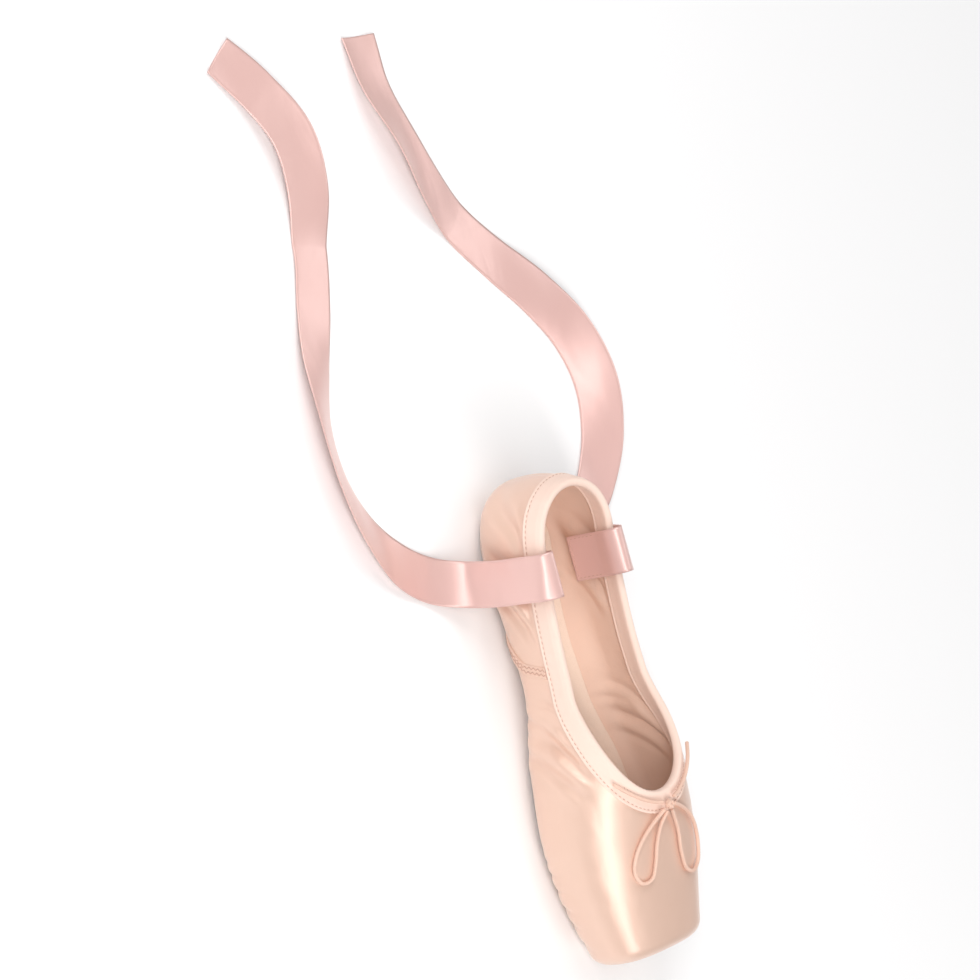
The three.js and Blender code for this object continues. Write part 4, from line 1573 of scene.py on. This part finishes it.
@dataclass
class Drawstring:
    """The bow on the throat: a knot, two loops and two ends of braided cord."""

    last: Last
    finishes: Finishes
    diameter: float = 1.9
    braid_pitch: float = 2.4
    step: float = 0.25
    around: int = 16
    knot_steps: int = 60
    knot_at: tuple[float, float, float] = (165.0, 0.0, 4.1)
    runs: tuple[CordRun, ...] = (
        CordRun("drawstring_loop_right", "knot", (
            (166.5, -3.2, 3.6), (171, -9, 2), (177, -16, 1.5), (184.5, -21, 1.4),
            (192, -22.5, 1.4), (198, -19, 1.4), (197.5, -13.5, 1.4), (191, -10.5, 1.4),
            (182, -8.5, 1.5), (173.5, -5, 2), (167.8, -1.2, 3.4))),
        CordRun("drawstring_loop_left", "knot", (
            (165.5, 3.6, 3.6), (169, 10.5, 2.2), (174.5, 18.5, 1.5), (182, 24.5, 1.4),
            (191, 27, 1.4), (199, 24.5, 1.4), (202.5, 18, 1.4), (199.5, 11.5, 1.4),
            (190.5, 8.5, 1.4), (180, 7.5, 1.5), (172.5, 4.5, 2.2), (168, 1.8, 3.5))),
        CordRun("drawstring_end_right", "bare", (
            (163, -3.6, 3.6), (161.5, -9, 2.9), (158, -15.5, 2.7), (153, -21.5, 2.7),
            (147.5, -26, 2.7))),
        CordRun("drawstring_end_left", "bare", (
            (162.5, 3.6, 3.6), (160.5, 9.5, 2.9), (156, 16, 2.9), (149.5, 21.5, 3.4),
            (143, 26.5, 4.2))),
    )

    def tube(self, path: Array, name: str, radius: float) -> bmesh.types.BMesh:
        """Braided cord along a path.

        Args:
            path: Centre line in metres.
            name: Name of the run, for the log.
            radius: Radius in metres.

        Returns:
            The cord's shape, closed at both ends.
        """
        run = run_along(path)
        turn = np.linspace(0, FULL_TURN, self.around + 1)
        twist = run[:, None] / (self.braid_pitch * MM) * FULL_TURN
        braid = np.sin(2 * turn[None, :] + twist) * np.sin(2 * turn[None, :] - twist)
        rings = radius * (0.97 + 0.05 * braid)
        caps = 1 - np.clip(np.minimum(run, run[-1] - run)[:, None] / (0.7 * radius), 0, 1)
        rings = rings * np.sqrt(np.clip(1 - caps**2, 0.0, 1))
        points = tube_points(path, rings, self.around)
        uv = np.stack(np.broadcast_arrays(run[:, None], turn[None, :] * radius), -1)
        LOG.info("%s: %.1f mm of cord", name, run[-1] / MM)
        return grid_bmesh(points, uv)

    def knot(self) -> bpy.types.Object:
        """Make the knot: cord wrapped twice round the crossing of the runs."""
        centre = in_frame(self.last.over_vamp(*self.knot_at))
        bm = bmesh.new()
        bm.loops.layers.uv.new("Cloth")
        turn = np.linspace(0, FULL_TURN, self.knot_steps + 1)
        lean = Matrix.Rotation(math.radians(24), 3, "Y")
        for tilt, size, squeeze in ((0.0, 1.75, 0.75), (62.0, 1.6, 0.8), (118.0, 1.6, 0.8)):
            across, along = size * squeeze * np.cos(turn), size * np.sin(turn)
            ring = np.stack([across, along, 0.5 * np.sin(2 * turn)], -1) * MM
            spin = np.array(Matrix.Rotation(math.radians(tilt), 3, "Z") @ lean)
            part = self.tube(ring @ spin.T + centre, "knot", self.diameter / 2 * MM)
            mesh = bpy.data.meshes.new("knot_part")
            part.to_mesh(mesh)
            part.free()
            bm.from_mesh(mesh)
            bpy.data.meshes.remove(mesh)
        piece = finish_piece(bm, "bow_knot", [self.finishes.cord], merge=2e-5)
        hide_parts("drawstring_knot")
        return piece

    def build(self) -> list[bpy.types.Object]:
        knot = self.knot()
        pieces = [knot]
        for run in self.runs:
            places = np.array([in_frame(self.last.over_vamp(*row)) for row in run.points])
            count = int(path_length(places) / (self.step * MM))
            path = catmull_rom(places, max(60, count))
            bm = self.tube(path, run.node, self.diameter / 2 * MM)
            name = run.node.replace("drawstring", "bow")
            piece = finish_piece(bm, name, [self.finishes.cord])
            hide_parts(run.node)
            pieces.append(piece)
        return pieces


# --------------------------------------------------------------------------
# Ribbons
# --------------------------------------------------------------------------


@dataclass(frozen=True)
class RibbonRow:
    """A point of a ribbon's route: place, height of the lower edge, and slope of the width."""

    x: float
    y: float
    lift: float
    tilt: float = 0.0


RIGHT_ROUTE = (
    RibbonRow(46, -20.6, 21),
    RibbonRow(46, -21.1, 30),
    RibbonRow(46, -21.2, 38),
    RibbonRow(46, -20.8, 46),
    RibbonRow(46, -24.5, 51.5),
    RibbonRow(46, -30.5, 48.5),
    RibbonRow(45, -34.5, 38),
    RibbonRow(44, -37.5, 24),
    RibbonRow(41, -43, 9),
    RibbonRow(35, -56, 1.5),
    RibbonRow(23, -74, 0, 8),
    RibbonRow(3, -90, 0, 26),
    RibbonRow(-22, -99, 0, 38),
    RibbonRow(-50, -100, 0, 34),
    RibbonRow(-77, -93, 0, 16),
    RibbonRow(-103, -83, 0, 3),
    RibbonRow(-130, -75, 0),
    RibbonRow(-157, -72, 3, -14),
    RibbonRow(-183, -76, 5, -20),
    RibbonRow(-206, -86, 2, -10),
    RibbonRow(-226, -101, 0),
)
LEFT_ROUTE = (
    RibbonRow(46, 20.6, 21),
    RibbonRow(46, 21.1, 30),
    RibbonRow(46, 21.2, 38),
    RibbonRow(46, 20.8, 46),
    RibbonRow(46, 24.5, 51.5),
    RibbonRow(46, 30.5, 48.5),
    RibbonRow(45, 34.5, 38),
    RibbonRow(43.5, 38, 24),
    RibbonRow(40, 44.5, 9),
    RibbonRow(32, 57, 1.5),
    RibbonRow(17, 72, 0, -10),
    RibbonRow(-5, 83, 0, -28),
    RibbonRow(-31, 86, 0, -38),
    RibbonRow(-57, 79, 0, -34),
    RibbonRow(-80, 64, 0, -18),
    RibbonRow(-101, 45, 0, -4),
    RibbonRow(-122, 26, 0),
    RibbonRow(-145, 9, 3, 12),
    RibbonRow(-170, -3, 5, 18),
    RibbonRow(-196, -9, 2, 10),
    RibbonRow(-221, -8, 0),
)


@dataclass
class Ribbon:
    """One satin ribbon, sewn inside the collar and lying loose on the floor."""

    last: Last
    finishes: Finishes
    side: Side
    route: tuple[RibbonRow, ...]
    width: float = 22.0
    thickness: float = 0.4
    solid_thickness: float = 1.0
    leaving_length: float = 170.0
    sewn_length: float = 17.0
    across: int = 16
    steps: int = 520

    def centre_line(self) -> tuple[Array, Array, Array]:
        """Route of the ribbon, its width square to the way the route heads in plan.

        Where the route climbs the wall it has no heading in plan, and the ribbon
        faces out of its own side of the shoe.

        Returns:
            Centres in millimetres, unit vectors across the ribbon, and lengths so far.
        """
        half = self.width / 2
        rows = []
        for row in self.route:
            slope = abs(math.radians(row.tilt))
            z = row.lift + half * math.sin(slope) + self.solid_thickness / 2 * math.cos(slope)
            rows.append((row.x, row.y, z, row.tilt))
        curve = catmull_rom(np.array(rows, float), self.steps + 1)
        centre, tilt = curve[:, :3], np.radians(curve[:, 3])
        run = run_along(centre)
        tangent = unit(np.gradient(centre, axis=0))
        outwards = self.side.value * np.maximum(0, 1 - run / self.leaving_length)
        level = unit(np.stack([-tangent[:, 1] - outwards, tangent[:, 0], np.zeros_like(run)], -1))
        width = level * np.cos(tilt)[:, None]
        width[:, 2] = np.sin(tilt)
        return centre, unit(width - tangent * (width * tangent).sum(-1, keepdims=True)), run

    def build(self) -> list[bpy.types.Object]:
        centre, width, run = self.centre_line()
        tangent = unit(np.gradient(centre, axis=0))
        normal = np.cross(tangent, width)
        share = np.linspace(-1, 1, self.across + 1)
        free = smoothstep(70, 130, run)[:, None]
        curl = 0.9 * free * share[None, :] ** 2 * np.sin(run / 46.0)[:, None]
        ripple = 0.3 * free * np.sin(run[:, None] / 11.0 + 2.2 * share[None, :])
        points = (
            centre[:, None]
            + width[:, None] * (share * self.width / 2)[None, :, None]
            + normal[:, None] * (curl + ripple)[..., None]
        )
        clear = self.thickness / 2 + 0.05
        points[..., 2] += np.maximum(0, clear - points[..., 2].min(1))[:, None]
        reach = share[None, :] * self.width / 2
        uv = np.stack(np.broadcast_arrays(run[:, None] * MM, reach * MM), -1)
        name = f"ribbon_{self.side.name.lower()}"
        piece = finish_piece(
            grid_bmesh(in_frame(points), uv), f"{name}_satin", [self.finishes.ribbon])
        cloth = piece.modifiers.new("cloth", "SOLIDIFY")
        cloth.thickness = self.thickness * MM
        cloth.offset = 0
        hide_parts(name)
        LOG.info("%s: %.0f mm long", name, run[-1])
        return [piece, self.sewing(centre, width, normal, run, name)]

    def sewing(
        self, centre: Array, width: Array, normal: Array, run: Array, name: str
    ) -> bpy.types.Object:
        """Stitch the ribbon's end to the lining, round three sides of a box.

        Args:
            centre: Centre line in millimetres.
            width: Directions across the ribbon.
            normal: Directions out of the ribbon.
            run: Lengths so far.
            name: Name of the ribbon.

        Returns:
            The stitches.
        """
        sewn = (run > 1.2) & (run < self.sewn_length)
        inwards = np.array([0.0, -float(self.side.value), 0.0])
        facing = normal * np.sign((normal * inwards).sum(-1, keepdims=True))
        lifted = centre + facing * (self.thickness / 2)
        edge = self.width / 2 - 1.4
        lines = [(lifted + width * reach)[sewn] for reach in (-edge, edge)]
        first = int(np.argmax(sewn))
        spread = np.linspace(-edge, edge, 24)[:, None]
        lines.append(lifted[first] + width[first] * spread)
        normals = [facing[sewn], facing[sewn], np.broadcast_to(facing[first], lines[2].shape)]
        stitches = StitchLine(
            f"{name}_sewing", "ribbon", self.finishes.thread, length=1.7, pitch=2.3, thickness=0.32)
        return stitches.bars(lines, normals)


# --------------------------------------------------------------------------
# Studio
# --------------------------------------------------------------------------


@dataclass(frozen=True)
class SoftLight:
    """A soft light aimed at the shoe, with its width and length in metres.

    A light that isn't mirrored brightens the shoe and leaves no shape in its shine.
    """

    name: str
    place: tuple[float, float, float]
    width: float
    length: float
    watts: float
    colour: tuple[float, float, float] = (1.0, 1.0, 1.0)
    mirrored: bool = True


@dataclass(frozen=True)
class Viewpoint:
    """Where the camera stands, by angles about a point inside the shoe.

    Azimuth is turned from the right-hand side towards the toe, and right_shift and
    up_shift move the middle of the picture from that point, along the picture.
    """

    about: tuple[float, float, float] = (0.105, 0.0, 0.028)
    distance: float = 2.0
    elevation: float = 42.4
    azimuth: float = -10.7
    roll: float = -82.4
    right_shift: float = -0.05465
    up_shift: float = 0.1279
    lens: float = 154.0

    def build(self) -> bpy.types.Object:
        """Make the camera."""
        rise, swing, roll = (math.radians(v) for v in (self.elevation, self.azimuth, self.roll))
        toward = Vector((
            math.cos(rise) * math.sin(swing), -math.cos(rise) * math.cos(swing), math.sin(rise)))
        level = (-toward).cross(Vector((0, 0, 1))).normalized()
        upright = level.cross(-toward)
        right = level * math.cos(roll) - upright * math.sin(roll)
        up = level * math.sin(roll) + upright * math.cos(roll)
        about = Vector(self.about)
        stand = about + toward * self.distance
        back = (stand - (about + right * self.right_shift + up * self.up_shift)).normalized()
        side = up.cross(back).normalized()
        camera = bpy.data.objects.new("camera", bpy.data.cameras.new("camera"))
        camera.data.lens = self.lens
        camera.data.clip_end = 20
        turned = Matrix((side, back.cross(side), back)).transposed().to_4x4()
        camera.matrix_world = Matrix.Translation(stand) @ turned
        return camera


@dataclass(frozen=True)
class Studio:
    """Pale floor, soft lights and the camera."""

    view: Viewpoint = Viewpoint()
    floor_colour: tuple[float, float, float] = (0.9, 0.9, 0.905)
    floor_glow: float = 0.05
    floor_reach: float = 6.0
    sky: float = 0.2
    aim_at: tuple[float, float, float] = (0.06, 0.0, 0.02)
    lights: tuple[SoftLight, ...] = (
        SoftLight("key_light", (0.35, -0.8, 0.98), 0.26, 2.4, 16.5, (1.0, 0.985, 0.975)),
        SoftLight("toe_light", (1.1, 0.15, 0.8), 0.6, 0.6, 3.2, mirrored=False),
        SoftLight("far_light", (-0.1, 0.95, 0.8), 0.35, 0.9, 3.0),
        SoftLight("heel_light", (-0.9, -0.25, 0.9), 0.4, 0.9, 6.5),
    )

    def build(self) -> None:
        """Make the floor, world, lights and camera."""
        scene = bpy.context.scene
        self.floor()
        world = bpy.data.worlds.new("studio")
        world.use_nodes = True
        world.node_tree.nodes["Background"].inputs[0].default_value = (1.0, 1.0, 1.0, 1)
        world.node_tree.nodes["Background"].inputs[1].default_value = self.sky
        scene.world = world
        scene.view_settings.view_transform = "Standard"
        for light in self.lights:
            lamp = bpy.data.lights.new(light.name, "AREA")
            lamp.shape = "RECTANGLE"
            lamp.size = light.length
            lamp.size_y = light.width
            lamp.energy = light.watts
            lamp.color = light.colour
            holder = bpy.data.objects.new(light.name, lamp)
            holder.location = light.place
            holder.visible_glossy = light.mirrored
            aim = Vector(self.aim_at) - Vector(light.place)
            holder.rotation_euler = aim.to_track_quat("-Z", "Y").to_euler()
            scene.collection.objects.link(holder)
        camera = self.view.build()
        scene.collection.objects.link(camera)
        scene.camera = camera

    def floor(self) -> bpy.types.Object:
        """Make the plain floor."""
        bm = bmesh.new()
        bmesh.ops.create_grid(bm, x_segments=1, y_segments=1, size=self.floor_reach)
        mesh = bpy.data.meshes.new("floor")
        bm.to_mesh(mesh)
        bm.free()
        floor = bpy.data.objects.new("floor", mesh)
        material = bpy.data.materials.new("floor_paper")
        material.use_nodes = True
        shader = material.node_tree.nodes["Principled BSDF"]
        shader.inputs["Base Color"].default_value = (*self.floor_colour, 1)
        shader.inputs["Roughness"].default_value = 0.9
        shader.inputs["Emission Color"].default_value = (1, 1, 1, 1)
        shader.inputs["Emission Strength"].default_value = self.floor_glow
        mesh.materials.append(material)
        bpy.context.scene.collection.objects.link(floor)
        return floor


def main() -> None:
    """Build the shoe piece by piece over its frame."""
    logging.basicConfig(level=logging.INFO, format="%(name)s %(message)s")
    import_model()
    Studio().build()
    finishes = Finishes()
    last = Last()
    frame = RibFrame(last)
    Drawstring(last, finishes).build()
    Upper(last, finishes).build(frame)
    Casing(last, finishes).build(frame)
    SolePiece(
        last, "leather_outsole", "outsole", "sole_leather", finishes.leather, margin=0.0,
        tip=last.sole_tip, upper_lift=-0.05, lower_lift=-2.7, floor=True).build()
    SolePiece(
        last, "cotton_insole", "insole", "insole_board", finishes.insole, margin=2.0,
        tip=217.0, upper_lift=4.65, lower_lift=2.4, floor=False).build()
    SoleStitching(last, finishes).build()
    SideSeam(last, finishes).build()
    Ribbon(last, finishes, Side.RIGHT, RIGHT_ROUTE).build()
    Ribbon(last, finishes, Side.LEFT, LEFT_ROUTE).build()


if __name__ == "__main__":
    main()
